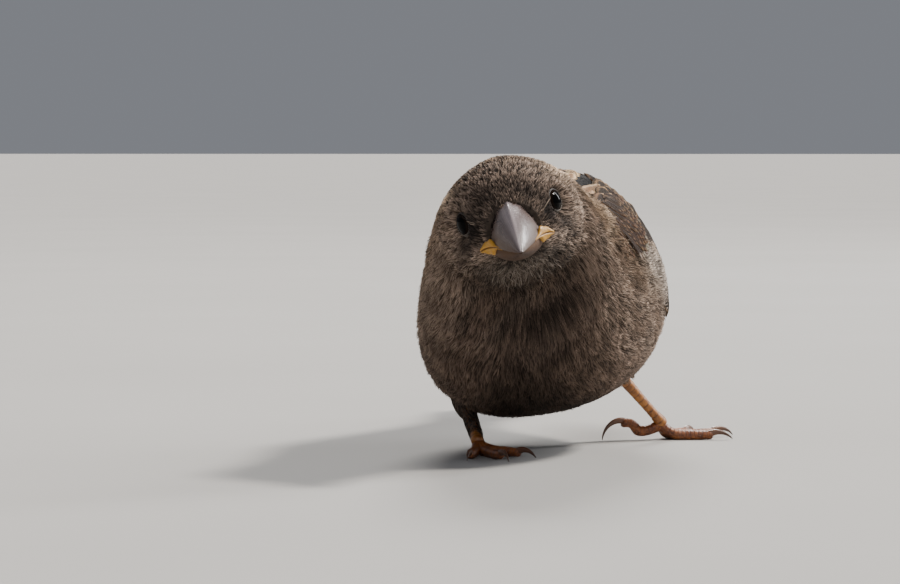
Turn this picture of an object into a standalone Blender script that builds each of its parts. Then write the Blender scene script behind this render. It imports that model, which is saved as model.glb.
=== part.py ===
"""A house sparrow at life size, crouched low on both feet, its head turned and tilted to its left.

Metres, +Z up. The bird faces -Y and its left side is +X. The last step puts the origin on the
floor, under the middle of the whole bird. Lengths are in millimetres times MM, angles in degrees.

The head, neck, trunk and tail are one form, drawn as rings from the bill back to the tail's tip
and parted by thin cuts. A ring has a half-width, a height above its widest level and a depth
below it. Places on that form are told by u, which counts rings, and v, the angle round the body
from the middle of the back to the left.
"""

import bpy
import numpy as np

MM = 0.001
GAP = 0.3 * MM  # between neighbouring pieces

# The head, in its own axes (left, forward, up) from the point midway between the eyes.
EYES_MIDDLE = np.array([0.9, -40.4, 41.1]) * MM
HEAD_YAW, HEAD_PITCH, HEAD_ROLL = 12.0, 7.7, 15.0  # turned to its left, bill down, left side up
# forward, widest level, half-width, up, down
HEAD_RINGS = (
    (6.1, -1.7, 4.5, 4.6, 4.9),
    (4.6, -1.6, 6.1, 6.0, 5.9),
    (2.6, -1.5, 7.7, 7.5, 6.9),
    (-0.2, -1.5, 9.3, 8.8, 8.1),
    (-3.8, -2.0, 11.0, 10.1, 9.8),
    (-8.5, -3.0, 12.3, 11.0, 12.4),
)
# y, widest level, half-width, up, down, lean (top backwards), roll (left side up)
TRUNK_RINGS = (
    (-24.0, 32.0, 15.6, 15.4, 16.6, 16.0, 11.0),
    (-13.0, 25.4, 18.6, 21.2, 17.6, 14.0, 8.5),
    (-1.0, 21.6, 20.4, 25.2, 15.4, 7.0, 8.0),
    (11.0, 21.4, 20.1, 25.8, 14.6, 0.0, 8.0),
    (22.0, 23.4, 17.3, 21.6, 13.8, -3.0, 6.0),
    (32.0, 26.6, 13.2, 13.8, 11.8, -5.0, 4.0),
    (41.0, 28.4, 10.2, 7.4, 8.2, -5.0, 3.0),
    (50.0, 28.6, 8.0, 4.2, 4.6, -4.0, 3.0),
    (60.0, 28.4, 7.2, 2.1, 2.7, -3.0, 3.0),
    (72.0, 28.0, 7.6, 0.9, 1.1, -3.0, 3.0),
    (87.0, 27.4, 8.6, 0.45, 0.45, -3.0, 3.0),
)
HEAD_END, NECK_END, TRUNK_END, TAIL_END = 5.6, 7.0, 12.4, 16.0  # the form's cuts, counted in rings
ABOVE_POWER, BELOW_POWER = 1.2, 0.85  # a ring is narrower than an ellipse above and fuller below
TRUNK_SKEW = 0.095  # how far a trunk ring leans to the left for each length above its widest level
CUT = 0.035  # a cut's width, in rings: the gap, where rings lie closest
AROUND = 32  # points on a ring

# An eye, and the socket that opens round it like a shallow dish.
EYE_AT = np.array([6.0, -0.4, 0.0]) * MM
EYE_RADIUS, LID_RADIUS = 2.5 * MM, 2.15 * MM
EYE_OUTWARD, EYE_UPWARD = 60.0, 4.0  # where it looks, from straight ahead
DISH_RADIUS, DISH_DEPTH = 4.4 * MM, 1.7 * MM

# The bill: its halves meet along an edge that dips at the corners of the mouth.
BILL_START, UPPER_TIP, LOWER_TIP = 6.4 * MM, 18.2 * MM, 17.0 * MM
BILL_HALF_WIDTH, BILL_POINT = 4.0 * MM, 0.3 * MM
BILL_TOP, BILL_BOTTOM, BILL_TIP_LEVEL = 2.7 * MM, -6.4 * MM, -3.5 * MM
EDGE_LEVEL, EDGE_DIP = -2.9 * MM, 0.9 * MM
GAPE_AT, GAPE_SIZE = np.array([5.1, 7.5, -3.8]) * MM, np.array([0.75, 1.15, 0.85]) * MM

# The folded wings, as plates that lie on the trunk: u, upper edge v, lower edge v, thickness, rise
WING_EDGES = (
    (6.9, 38.0, 76.0, 0.6, 0.0),
    (7.7, 22.0, 76.0, 1.0, 0.0),
    (9.2, 14.0, 92.0, 1.1, 0.0),
    (10.6, 10.0, 95.0, 1.2, 0.1),
    (11.8, 9.0, 90.0, 1.3, 0.8),
    (12.7, 12.0, 76.0, 1.1, 1.2),
)
PRIMARY_EDGES = (
    (12.8, 14.0, 76.0, 1.1, 1.2),
    (13.6, 18.0, 66.0, 0.9, 1.3),
    (14.4, 26.0, 52.0, 0.7, 1.2),
)
WING_ALONG, WING_ACROSS = 15, 9  # points

# The legs: hip, ankle and the ball of the foot, how far the thigh's feathers reach past the ankle,
# the way the middle toe points from +X to +Y, and the hind toe's turn from it and its arch.
LEGS = {
    "left": {
        "hip": (7.5, 10.0, 24.0),
        "ankle": (11.6, 14.8, 12.0),
        "ball": (18.1, 21.3, 3.4),
        "sleeve": 2.4,
        "heading": 42.0,
        "hind": (160.0, 2.2),
    },
    "right": {
        "hip": (-11.5, 8.0, 22.0),
        "ankle": (-13.8, 2.6, 8.6),
        "ball": (-9.2, -9.8, 2.2),
        "sleeve": 5.0,
        "heading": -62.0,
        "hind": (196.0, 0.0),
    },
}
THIGH_RADIUS, SLEEVE_RADIUS = 4.9 * MM, 1.8 * MM
ANKLE_RADIUS, SHANK_RADIUS = 1.25 * MM, 0.9 * MM
PALM, PALM_WEB = 4.1 * MM, 1.5 * MM  # how far the foot's pad runs out under a toe, and between toes
PALM_LOBE, PALM_RISE = 12.0, 1.0 * MM  # a lobe's half-width in degrees, the pad's top over the ball
# turn from the middle toe towards the bird's outer side, length, claw length
TOES = {
    "hind": (None, 7.0, 5.0),
    "inner": (-30.0, 9.4, 4.0),
    "middle": (0.0, 12.2, 4.4),
    "outer": (26.0, 10.0, 4.0),
}
TOE_RADIUS, TOE_TIP_RADIUS, CLAW_RADIUS, CLAW_POINT = 0.9 * MM, 0.68 * MM, 0.6 * MM, 0.14 * MM
CLAW_BENDS = (18.0, -48.0)  # a claw's slope where it leaves the toe and at its point
ARCHED_CLAW_BENDS = (20.0, -85.0)  # the same at the end of an arched toe
CLAW_OVER = 0.3 * MM  # how far a claw leaves its toe above the toe's own middle
ARCH_SPAN = (0.15, 0.85)  # the share of a half-wave that an arched toe follows
SOLE = 0.14 * MM  # what the floor flattens off a round toe

COLOURS = {
    "plumage": ((0.16, 0.12, 0.09), 0.9),
    "wing": ((0.20, 0.13, 0.08), 0.8),
    "bill": ((0.42, 0.36, 0.36), 0.35),
    "gape": ((0.62, 0.42, 0.05), 0.45),
    "eye": ((0.01, 0.008, 0.006), 0.05),
    "leg": ((0.30, 0.13, 0.05), 0.5),
    "claw": ((0.07, 0.045, 0.035), 0.35),
}
SIDES = {"left": 1.0, "right": -1.0}


# --- curves and axes -------------------------------------------------------------------------


def between(rows, at):
    """Rows of numbers, read at places counted in rows, on a smooth curve through them all."""
    rows, at = np.asarray(rows, float), np.asarray(at, float)
    slopes = np.gradient(rows, axis=0)
    first = np.clip(np.floor(at).astype(int), 0, len(rows) - 2)
    t = (at - first)[..., None]
    start = rows[first] * (1 + 2 * t) * (1 - t) ** 2 + slopes[first] * t * (1 - t) ** 2
    end = rows[first + 1] * (3 - 2 * t) * t**2 - slopes[first + 1] * (1 - t) * t**2
    return start + end


def turned(yaw, pitch, roll):
    """Axes (left, back, up) as columns, rolled left side up, then pitched forwards, then turned."""
    y, p, r = np.broadcast_arrays(*np.radians([yaw, pitch, roll]))
    one, none = np.ones_like(y), np.zeros_like(y)

    def matrix(*cells):
        return np.stack(cells, -1).reshape(*y.shape, 3, 3)

    rolled = matrix(np.cos(r), none, -np.sin(r), none, one, none, np.sin(r), none, np.cos(r))
    pitched = matrix(one, none, none, none, np.cos(p), -np.sin(p), none, np.sin(p), np.cos(p))
    yawed = matrix(np.cos(y), -np.sin(y), none, np.sin(y), np.cos(y), none, none, none, one)
    return yawed @ pitched @ rolled


def in_head(points):
    """Points given as left, forward and up of the eyes' middle, placed in the world."""
    back = np.asarray(points, float) * [1, -1, 1]
    return EYES_MIDDLE + back @ turned(HEAD_YAW, HEAD_PITCH, HEAD_ROLL).T


def all_rings():
    """Every ring's centre, yaw, pitch, roll, half-width, up, down and skew."""
    rows = []
    for forward, level, *sizes in HEAD_RINGS:
        centre = in_head(np.array([0.0, forward, level]) * MM)
        rows.append([*centre, HEAD_YAW, HEAD_PITCH, HEAD_ROLL, *(np.array(sizes) * MM), 0.0])
    for y, level, *sizes, lean, roll in TRUNK_RINGS:
        rows.append([0.0, y * MM, level * MM, 0.0, -lean, roll, *(np.array(sizes) * MM), TRUNK_SKEW])
    return np.array(rows)


RINGS = all_rings()


def body(u, v, out=0.0):
    """Points on the form at u rings and v degrees, moved out of it by a length."""
    u, v, out = np.broadcast_arrays(u, v, out)
    ring = between(RINGS, u)
    angle = np.radians(v)
    power = np.where(np.cos(angle) > 0, ABOVE_POWER, BELOW_POWER)
    across = (ring[..., 6] + out) * np.sign(np.sin(angle)) * np.abs(np.sin(angle)) ** power
    above = (np.where(np.cos(angle) > 0, ring[..., 7], ring[..., 8]) + out) * np.cos(angle)
    offset = np.stack([across + ring[..., 9] * above, np.zeros_like(across), above], -1)
    axes = turned(ring[..., 3], ring[..., 4], ring[..., 5])
    return ring[..., :3] + np.einsum("...ij,...j->...i", axes, offset)


# --- pieces ----------------------------------------------------------------------------------


def material(slot):
    """The material of a slot, made on first use."""
    found = bpy.data.materials.get(slot)
    if found:
        return found
    made = bpy.data.materials.new(slot)
    made.use_nodes = True
    shader = made.node_tree.nodes["Principled BSDF"]
    colour, roughness = COLOURS[slot]
    shader.inputs["Base Color"].default_value = (*colour, 1.0)
    shader.inputs["Roughness"].default_value = roughness
    shader.inputs["Metallic"].default_value = 0.0
    made.diffuse_color = (*colour, 1.0)
    return made


def tube(name, slot, rings):
    """A closed solid through rings of equally many points, each end closed straight across."""
    rings = np.asarray(rings, float)
    count, around = rings.shape[:2]
    here = np.arange(count - 1)[:, None] * around + np.arange(around)
    beside = np.roll(here, -1, axis=1)
    sides = np.stack([here, beside, beside + around, here + around], -1)
    half = np.arange(around // 2 - 1)
    end = np.stack([half, half + 1, around - 2 - half, around - 1 - half], -1)
    faces = [*sides.reshape(-1, 4).tolist(), *end[:, ::-1].tolist(), *(end + (count - 1) * around).tolist()]
    mesh = bpy.data.meshes.new(name)
    mesh.from_pydata(rings.reshape(-1, 3).tolist(), [], faces)
    corners = rings.reshape(-1, 3)[np.array(faces)]
    normals = np.cross(corners[:, 2] - corners[:, 0], corners[:, 3] - corners[:, 1])
    if (corners.mean(axis=1) * normals).sum() < 0:
        mesh.flip_normals()
    mesh.shade_smooth()
    mesh.set_sharp_from_angle(angle=np.radians(50.0))
    mesh.materials.append(material(slot))
    made = bpy.data.objects.new(name, mesh)
    bpy.context.collection.objects.link(made)
    return made


def tool(made):
    """Marks an object as one that only cuts or joins others."""
    made.hide_render = True
    made.display_type = "WIRE"
    return made


def combine(made, other, operation):
    """Cuts another object from one, or joins it on."""
    step = made.modifiers.new(other.name, "BOOLEAN")
    step.operation = operation
    step.object = other


def round_path(points, radii, around=10, upright=(0.0, 0.0, 1.0)):
    """Rings of the given radii round a path, each square to it and starting at its upper side."""
    points, radii = np.asarray(points, float), np.asarray(radii, float)
    along = np.gradient(points, axis=0)
    along /= np.linalg.norm(along, axis=1, keepdims=True)
    aside = np.cross(upright, along)
    aside /= np.linalg.norm(aside, axis=1, keepdims=True)
    above = np.cross(along, aside)
    angle = np.arange(around) / around * 2 * np.pi
    rim = np.cos(angle)[:, None] * above[:, None] + np.sin(angle)[:, None] * aside[:, None]
    return points[:, None] + radii[:, None, None] * rim


def make_body():
    """The head, neck, trunk and tail, as lengths of the one form."""
    v = (np.arange(AROUND) + 0.5) / AROUND * 360.0
    cuts = (
        ("head", 0.0, HEAD_END, 12),
        ("neck", HEAD_END + CUT, NECK_END, 5),
        ("trunk", NECK_END + CUT, TRUNK_END, 15),
        ("tail", TRUNK_END + CUT, TAIL_END, 9),
    )
    for name, start, end, count in cuts:
        u = np.linspace(start, end, count)[:, None]
        tube(name, "plumage", body(u, v[None]))


def make_eyes():
    """Each eye is a ball, and a socket with a dished rim is cut for it."""
    outward, upward = np.radians([EYE_OUTWARD, EYE_UPWARD])
    for side, sign in SIDES.items():
        looks = np.array([sign * np.sin(outward), np.cos(outward) * np.cos(upward), np.sin(upward)])
        looks /= np.linalg.norm(looks)
        centre = EYE_AT * [sign, 1, 1]
        angle = np.radians(np.linspace(4.0, 176.0, 13))
        ball = lathe(centre, looks, -EYE_RADIUS * np.cos(angle), EYE_RADIUS * np.sin(angle))
        tube(f"eye_{side}", "eye", in_head(ball))
        wide = EYE_RADIUS + GAP
        rim = np.sqrt(wide**2 - LID_RADIUS**2)
        angle = np.radians(np.linspace(4.0, 180.0 - np.degrees(np.arcsin(LID_RADIUS / wide)), 9))
        along = [*(-wide * np.cos(angle)), rim + DISH_DEPTH]
        radius = [*(wide * np.sin(angle)), DISH_RADIUS]
        socket = tool(tube(f"socket_{side}", "plumage", in_head(lathe(centre, looks, along, radius))))
        combine(bpy.data.objects["head"], socket, "DIFFERENCE")


def lathe(centre, axis, along, radius, around=16):
    """Rings round an axis through a centre, at distances along it and of given radii."""
    path = np.asarray(centre) + np.asarray(along)[:, None] * axis
    return round_path(path, radius, around)


def make_bill():
    """The upper and lower halves of the bill, each a shrinking arch over a flat underside."""

    def half(tip, outer_level, side_of_edge):
        """Rings of one half: x = w sin t and z = edge + (outer - edge) cos t, as t crosses the arch."""
        s = np.linspace(0.0, 1.0, 9)[:, None]
        forward = BILL_START + (tip - BILL_START) * s
        width = BILL_POINT + (BILL_HALF_WIDTH - BILL_POINT) * (1 - s**1.5) ** 0.95
        point = BILL_TIP_LEVEL + side_of_edge * BILL_POINT
        outer = point + (outer_level - point) * (1 - s**1.6)
        edge = EDGE_LEVEL + (BILL_TIP_LEVEL - EDGE_LEVEL) * s - EDGE_DIP * (1 - s) ** 4
        edge = edge + side_of_edge * GAP / 2
        t = np.radians(np.linspace(-90.0, 90.0, 12))[None]
        points = np.broadcast_arrays(width * np.sin(t), forward, edge + (outer - edge) * np.cos(t) ** 0.9)
        return in_head(np.stack(points, -1))

    tube("upper_mandible", "bill", half(UPPER_TIP, BILL_TOP, 1.0))
    tube("lower_mandible", "bill", half(LOWER_TIP, BILL_BOTTOM, -1.0))
    for side, sign in SIDES.items():
        angle = np.radians(np.linspace(10.0, 170.0, 7))
        rings = lathe(np.zeros(3), np.array([0.0, 1.0, 0.0]), -np.cos(angle), np.sin(angle), 10)
        tube(f"gape_{side}", "gape", in_head(GAPE_AT * [sign, 1, 1] + rings * GAPE_SIZE))


def make_wings():
    """Each wing is a plate over the trunk, and its long primaries are a second, behind it."""
    pieces = (("wing", WING_EDGES, WING_ALONG), ("primaries", PRIMARY_EDGES, WING_ALONG // 2))
    for name, edges, count in pieces:
        rows = between(edges, np.linspace(0, len(edges) - 1, count))
        u, upper, lower, thickness, rise = (rows[:, i, None] for i in range(5))
        across = np.linspace(0.0, 1.0, WING_ACROSS)[None]
        v = upper + (lower - upper) * across
        crown = 0.45 + 0.55 * np.sin(np.pi * across) ** 0.6  # thin at both long edges
        inner = GAP * 1.3 + rise * MM
        outer = inner + thickness * MM * crown
        for side, sign in SIDES.items():
            under = body(u, sign * v, inner + 0 * across)
            over = body(u, sign * v, outer)
            tube(f"{name}_{side}", "wing", np.concatenate([over, under[:, ::-1]], axis=1))


def make_leg(side, sign):
    """A feathered thigh, a bare shank with the foot's sole, and four toes with their claws."""
    plan = LEGS[side]
    hip, ankle, ball = (np.array(plan[key]) * MM for key in ("hip", "ankle", "ball"))
    t = np.linspace(0.0, 1.0, 9)[:, None]
    radius = SLEEVE_RADIUS + (THIGH_RADIUS - SLEEVE_RADIUS) * (1 - t[:, 0] ** 1.4)
    down = (ankle - ball) / np.linalg.norm(ankle - ball)
    sleeve_end = ankle - down * plan["sleeve"] * MM
    path = (1 - t) ** 2 * hip + 2 * t * (1 - t) * (ankle + down * 1.0 * MM) + t**2 * sleeve_end
    thigh = tube(f"thigh_{side}", "plumage", round_path(path, radius, 14, (0.0, -1.0, 0.0)))
    combine(thigh, bpy.data.objects["trunk_clearance"], "DIFFERENCE")

    s = np.linspace(0.0, 1.0, 7)[:, None]
    shank_radius = SHANK_RADIUS + (ANKLE_RADIUS - SHANK_RADIUS) * (1 - s[:, 0]) ** 3
    shank_rings = round_path(ankle + (ball - ankle) * s, shank_radius, 12, (0.0, -1.0, 0.0))
    shank = tube(f"tarsus_{side}", "leg", shank_rings)
    long_path = ankle + (ball - ankle) * np.linspace(-0.08, 1.0, 7)[:, None]
    clearance = round_path(long_path, shank_radius + 1.2 * GAP, 12, (0.0, -1.0, 0.0))
    combine(thigh, tool(tube(f"tarsus_clearance_{side}", "leg", clearance)), "DIFFERENCE")
    hind_turn, arch = plan["hind"]
    toes = TOES | {"hind": (hind_turn, *TOES["hind"][1:])}
    headings = [plan["heading"] + sign * turn for turn, _, _ in toes.values()]
    combine(shank, tool(tube(f"palm_{side}", "leg", palm(ball, headings))), "UNION")
    combine(shank, bpy.data.objects["trunk_clearance"], "DIFFERENCE")

    for toe, (turn, length, claw_length) in toes.items():
        heading = np.radians(plan["heading"] + sign * turn)
        ahead = np.array([np.cos(heading), np.sin(heading), 0.0])
        steep, bend = np.radians(ARCHED_CLAW_BENDS if toe == "hind" and arch else CLAW_BENDS)
        claw_turn = claw_length * MM / (steep - bend)  # radius of the claw's arc
        claw_start = claw_turn * (np.cos(steep) - np.cos(bend)) + CLAW_POINT
        rest = TOE_RADIUS - SOLE
        lift = arch * MM if toe == "hind" else 0.0

        s = np.linspace(0.0, 1.0, 8)
        reach = PALM + GAP + (length * MM - PALM - GAP) * s
        arched = lift * np.sin(np.pi * (ARCH_SPAN[0] + (ARCH_SPAN[1] - ARCH_SPAN[0]) * s))
        height = rest + (claw_start - CLAW_OVER - rest) * s**4 + arched
        path = ball * [1, 1, 0] + reach[:, None] * ahead + height[:, None] * [0, 0, 1]
        radii = TOE_RADIUS + (TOE_TIP_RADIUS - TOE_RADIUS) * s**2
        tube(f"toe_{side}_{toe}", "leg", on_floor(round_path(path, radii, 8)))

        slope = np.linspace(steep, bend, 8)
        out = length * MM + GAP + claw_turn * (np.sin(steep) - np.sin(slope))
        drop = claw_turn * (np.cos(steep) - np.cos(slope))
        still_up = lift * np.sin(ARCH_SPAN[0] * np.pi) * (slope - bend) / (steep - bend)
        height = claw_start - drop + still_up
        path = ball * [1, 1, 0] + out[:, None] * ahead + height[:, None] * [0, 0, 1]
        radii = CLAW_POINT + (CLAW_RADIUS - CLAW_POINT) * (1 - np.linspace(0, 1, 8) ** 1.3)
        tube(f"claw_{side}_{toe}", "claw", on_floor(round_path(path, radii, 8)))


def palm(ball, headings):
    """Rings of the pad under the foot, whose reach is web + (palm - web) exp(-(turn / lobe)^2)."""
    angle = np.arange(30) / 30 * 360.0
    turn = (angle[:, None] - np.array(headings) + 180.0) % 360.0 - 180.0
    lobes = np.minimum(np.exp(-((turn / PALM_LOBE) ** 2)).sum(axis=1), 1.0)
    reach = PALM_WEB + (PALM - PALM_WEB) * lobes
    edge, top = 2 * TOE_RADIUS - SOLE, ball[2] + PALM_RISE
    share = np.array([0.06, 0.25, 0.5, 0.8, 0.96, 1.0, 0.94, 0.06])
    height = np.array([top, *(edge + (top - edge) * (1 - share[1:5]) ** 1.5), edge / 2, 0.0, 0.0])
    flat = np.stack([np.cos(np.radians(angle)), np.sin(np.radians(angle))], -1)
    share = share[:, None]
    rim = ball[:2] + (share * (PALM_WEB + (reach - PALM_WEB) * share))[..., None] * flat
    return np.concatenate([rim, np.broadcast_to(height[:, None, None], (*rim.shape[:2], 1))], -1)


def on_floor(rings):
    """The same rings with nothing under the floor."""
    return np.concatenate([rings[..., :2], np.maximum(rings[..., 2:], 0.0)], -1)


def centre_on_origin():
    """Moves every object so that the bird's bounding box stands centred over the origin."""
    shown = [made for made in bpy.data.objects if not made.hide_render]
    corners = np.concatenate([[point.co for point in made.data.vertices] for made in shown])
    low, high = corners.min(axis=0), corners.max(axis=0)
    middle = (low + high) / 2
    for made in bpy.data.objects:
        made.location = (-middle[0], -middle[1], -low[2])


for leftover in list(bpy.data.objects):
    bpy.data.objects.remove(leftover)
make_body()
make_eyes()
make_bill()
make_wings()
ring_angles = (np.arange(AROUND) + 0.5) / AROUND * 360.0
clearance_u = np.linspace(NECK_END - 0.5, TRUNK_END + 0.4, 24)[:, None]
tool(tube("trunk_clearance", "plumage", body(clearance_u, ring_angles[None], GAP * 1.3)))
for leg_side, leg_sign in SIDES.items():
    make_leg(leg_side, leg_sign)
centre_on_origin()
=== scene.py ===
"""A house sparrow at life size, crouched on a plain floor with its head turned and tilted.

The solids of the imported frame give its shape. Here it gets one skin, a coat of solid barbs and
vanes, eyes, bill and feet. Lengths are in millimetres and become metres as a mesh is made.
"""

import bpy
import numpy as np
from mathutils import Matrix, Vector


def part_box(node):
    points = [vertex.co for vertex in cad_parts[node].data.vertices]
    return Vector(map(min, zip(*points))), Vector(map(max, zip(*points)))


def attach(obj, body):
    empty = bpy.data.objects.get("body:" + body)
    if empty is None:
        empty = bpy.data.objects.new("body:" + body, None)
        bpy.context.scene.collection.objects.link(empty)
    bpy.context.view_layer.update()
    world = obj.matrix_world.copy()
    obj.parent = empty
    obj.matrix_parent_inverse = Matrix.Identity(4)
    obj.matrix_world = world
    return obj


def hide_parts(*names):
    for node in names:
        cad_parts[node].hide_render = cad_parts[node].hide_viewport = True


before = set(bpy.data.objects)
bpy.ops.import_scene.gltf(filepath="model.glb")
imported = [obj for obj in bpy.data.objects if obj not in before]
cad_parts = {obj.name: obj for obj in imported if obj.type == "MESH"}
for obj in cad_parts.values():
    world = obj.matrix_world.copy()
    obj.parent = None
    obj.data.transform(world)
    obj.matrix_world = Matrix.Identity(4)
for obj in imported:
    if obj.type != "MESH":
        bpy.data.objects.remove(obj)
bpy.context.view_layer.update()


# --- the form of the bird ---------------------------------------------------------------------
# Head, neck, trunk and tail are one stuffed form, drawn as rings from the bill back to the tail.
# A place on it is u, which counts rings, and v, the angle from the middle of the back to its left.

SIDES = {"left": 1.0, "right": -1.0}
HEAD_TURN = (12.0, 7.7, 15.0)  # to its left, bill down, left side up
EYES_MIDDLE = np.array([0.9, -40.4, 41.1])
EYE_AT, EYE_RADIUS, LID_RADIUS = np.array([6.0, -0.4, 0.0]), 2.5, 1.85
EYE_OUTWARD, EYE_UPWARD = 60.0, 4.0
# the socket's slope outside the lid's rim and inside it, and how far it reaches from the eye's axis
DISH_SLOPE, WELL_SLOPE, DISH_REACH = 0.43, 1.8, 6.0
# forward, widest level, half-width, up, down
HEAD_RINGS = (
    (6.1, -1.7, 4.5, 4.6, 4.9),
    (4.6, -1.6, 6.1, 6.0, 5.9),
    (2.6, -1.5, 7.7, 7.5, 6.9),
    (-0.2, -1.5, 9.3, 8.8, 8.1),
    (-3.8, -2.0, 11.0, 10.1, 9.8),
    (-8.5, -3.0, 12.3, 11.0, 12.4),
)
# y, widest level, half-width, up, down, lean (top backwards), roll (left side up)
TRUNK_RINGS = (
    (-24.0, 32.0, 15.6, 15.4, 16.6, 16.0, 11.0),
    (-13.0, 25.4, 18.6, 21.2, 17.6, 14.0, 8.5),
    (-1.0, 21.6, 20.4, 25.2, 15.4, 7.0, 8.0),
    (11.0, 21.4, 20.1, 25.8, 14.6, 0.0, 8.0),
    (22.0, 23.4, 17.3, 21.6, 13.8, -3.0, 6.0),
    (32.0, 26.6, 13.2, 13.8, 11.8, -5.0, 4.0),
    (41.0, 28.4, 10.2, 7.4, 8.2, -5.0, 3.0),
    (50.0, 28.6, 8.0, 4.2, 4.6, -4.0, 3.0),
    (60.0, 28.4, 7.2, 2.1, 2.7, -3.0, 3.0),
    (72.0, 28.0, 7.6, 0.9, 1.1, -3.0, 3.0),
    (87.0, 27.4, 8.6, 0.45, 0.45, -3.0, 3.0),
)
ABOVE_POWER, BELOW_POWER, TRUNK_SKEW = 1.2, 0.85, 0.095


def unit(vectors):
    """Vectors brought to length 1."""
    return vectors / np.linalg.norm(vectors, axis=-1, keepdims=True)


def between(rows, at):
    """Rows of numbers read at places counted in rows, on a smooth cubic curve through them."""
    slopes = np.gradient(rows, axis=0)
    first = np.clip(np.floor(at).astype(int), 0, len(rows) - 2)
    t = (at - first)[..., None]
    start = rows[first] * (1 + 2 * t) * (1 - t) ** 2 + slopes[first] * t * (1 - t) ** 2
    end = rows[first + 1] * (3 - 2 * t) * t**2 - slopes[first + 1] * (1 - t) * t**2
    return start + end


def turned(yaw, pitch, roll):
    """Axes (left, back, up) as columns, rolled left side up, then pitched forwards, then turned."""
    y, p, r = np.radians([yaw, pitch, roll])
    one, none = np.ones_like(y), np.zeros_like(y)

    def matrix(*cells):
        return np.stack(cells, -1).reshape(*y.shape, 3, 3)

    rolled = matrix(np.cos(r), none, -np.sin(r), none, one, none, np.sin(r), none, np.cos(r))
    pitched = matrix(one, none, none, none, np.cos(p), -np.sin(p), none, np.sin(p), np.cos(p))
    yawed = matrix(np.cos(y), -np.sin(y), none, np.sin(y), np.cos(y), none, none, none, one)
    return yawed @ pitched @ rolled


HEAD_AXES = turned(*HEAD_TURN)


def in_head(points):
    """Points given as left, forward and up of the eyes' middle, placed on the bird."""
    return EYES_MIDDLE + (np.asarray(points, float) * [1, -1, 1]) @ HEAD_AXES.T


def from_head(points):
    """The way back: a point's left, forward and up of the eyes' middle."""
    return ((points - EYES_MIDDLE) @ HEAD_AXES) * [1, -1, 1]


# every ring's centre, yaw, pitch, roll, half-width, up, down and skew
RINGS = np.array(
    [[*in_head([0.0, forward, level]), *HEAD_TURN, *sizes, 0.0] for forward, level, *sizes in HEAD_RINGS]
    + [[0.0, y, level, 0.0, -lean, roll, *sizes, TRUNK_SKEW] for y, level, *sizes, lean, roll in TRUNK_RINGS]
)


def set_out(ring, across, above):
    """Points so far to the left of a ring's centre and above it, in the ring's own plane."""
    axes = turned(ring[..., 3], ring[..., 4], ring[..., 5])
    offset = np.stack([across, np.zeros_like(across), above], -1)
    return ring[..., :3] + np.einsum("...ij,...j->...i", axes, offset)


def body(u, v, out=0.0):
    """Points on the form: across = width |sin v|^p, above = height cos v, both set out by a length."""
    u, v, out = np.broadcast_arrays(u, v, out)
    ring, angle = between(RINGS, u), np.radians(v)
    upper = np.cos(angle) > 0
    power = np.where(upper, ABOVE_POWER, BELOW_POWER)
    across = (ring[..., 6] + out) * np.sign(np.sin(angle)) * np.abs(np.sin(angle)) ** power
    above = (np.where(upper, ring[..., 7], ring[..., 8]) + out) * np.cos(angle)
    return set_out(ring, across + ring[..., 9] * above, above)


def eye_axis(sign):
    """The way an eye looks, in the head's own axes."""
    outward, upward = np.radians([EYE_OUTWARD, EYE_UPWARD])
    return unit(np.array([sign * np.sin(outward), np.cos(outward) * np.cos(upward), np.sin(upward)]))


def eye_polar(points, sign):
    """A point's distance out along an eye's axis and its distance from that axis."""
    offset = from_head(points) - EYE_AT * [sign, 1, 1]
    along = offset @ eye_axis(sign)
    return along, np.linalg.norm(offset - along[..., None] * eye_axis(sign), axis=-1)


def flesh(u, v, out=0.0):
    """The form with its two eye sockets: near an eye nothing stands above a cone that widens from
    the lid's rim, and inside the lid the skin drops behind the ball."""
    points = body(u, v, out)
    rim = np.sqrt(EYE_RADIUS**2 - LID_RADIUS**2)
    for sign in SIDES.values():
        along, away = eye_polar(points, sign)
        cone = rim + 0.1 + DISH_SLOPE * (away - LID_RADIUS)
        cone = np.where(away < LID_RADIUS, rim - WELL_SLOPE * (LID_RADIUS - away), cone) + out
        drop = np.where((along > 0) & (away < DISH_REACH), np.minimum(cone - along, 0.0), 0.0)
        points = points + drop[..., None] * ((eye_axis(sign) * [1, -1, 1]) @ HEAD_AXES.T)
    return points


# from the form's axes to the frame's: the eyes' middle lies between the frame's two eyes
eye_boxes = [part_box(f"eye_{side}") for side in SIDES]
STANDS_AT = 1000 * np.mean(eye_boxes, axis=(0, 1)) - in_head(EYE_AT * [0, 1, 1])


# --- floor, light and camera ------------------------------------------------------------------
# A pale floor under a soft lamp behind the bird's left shoulder, another behind its right, a weak
# one in front, and an even pale surround. The camera stands low, half a metre in front of the bird.


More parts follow.
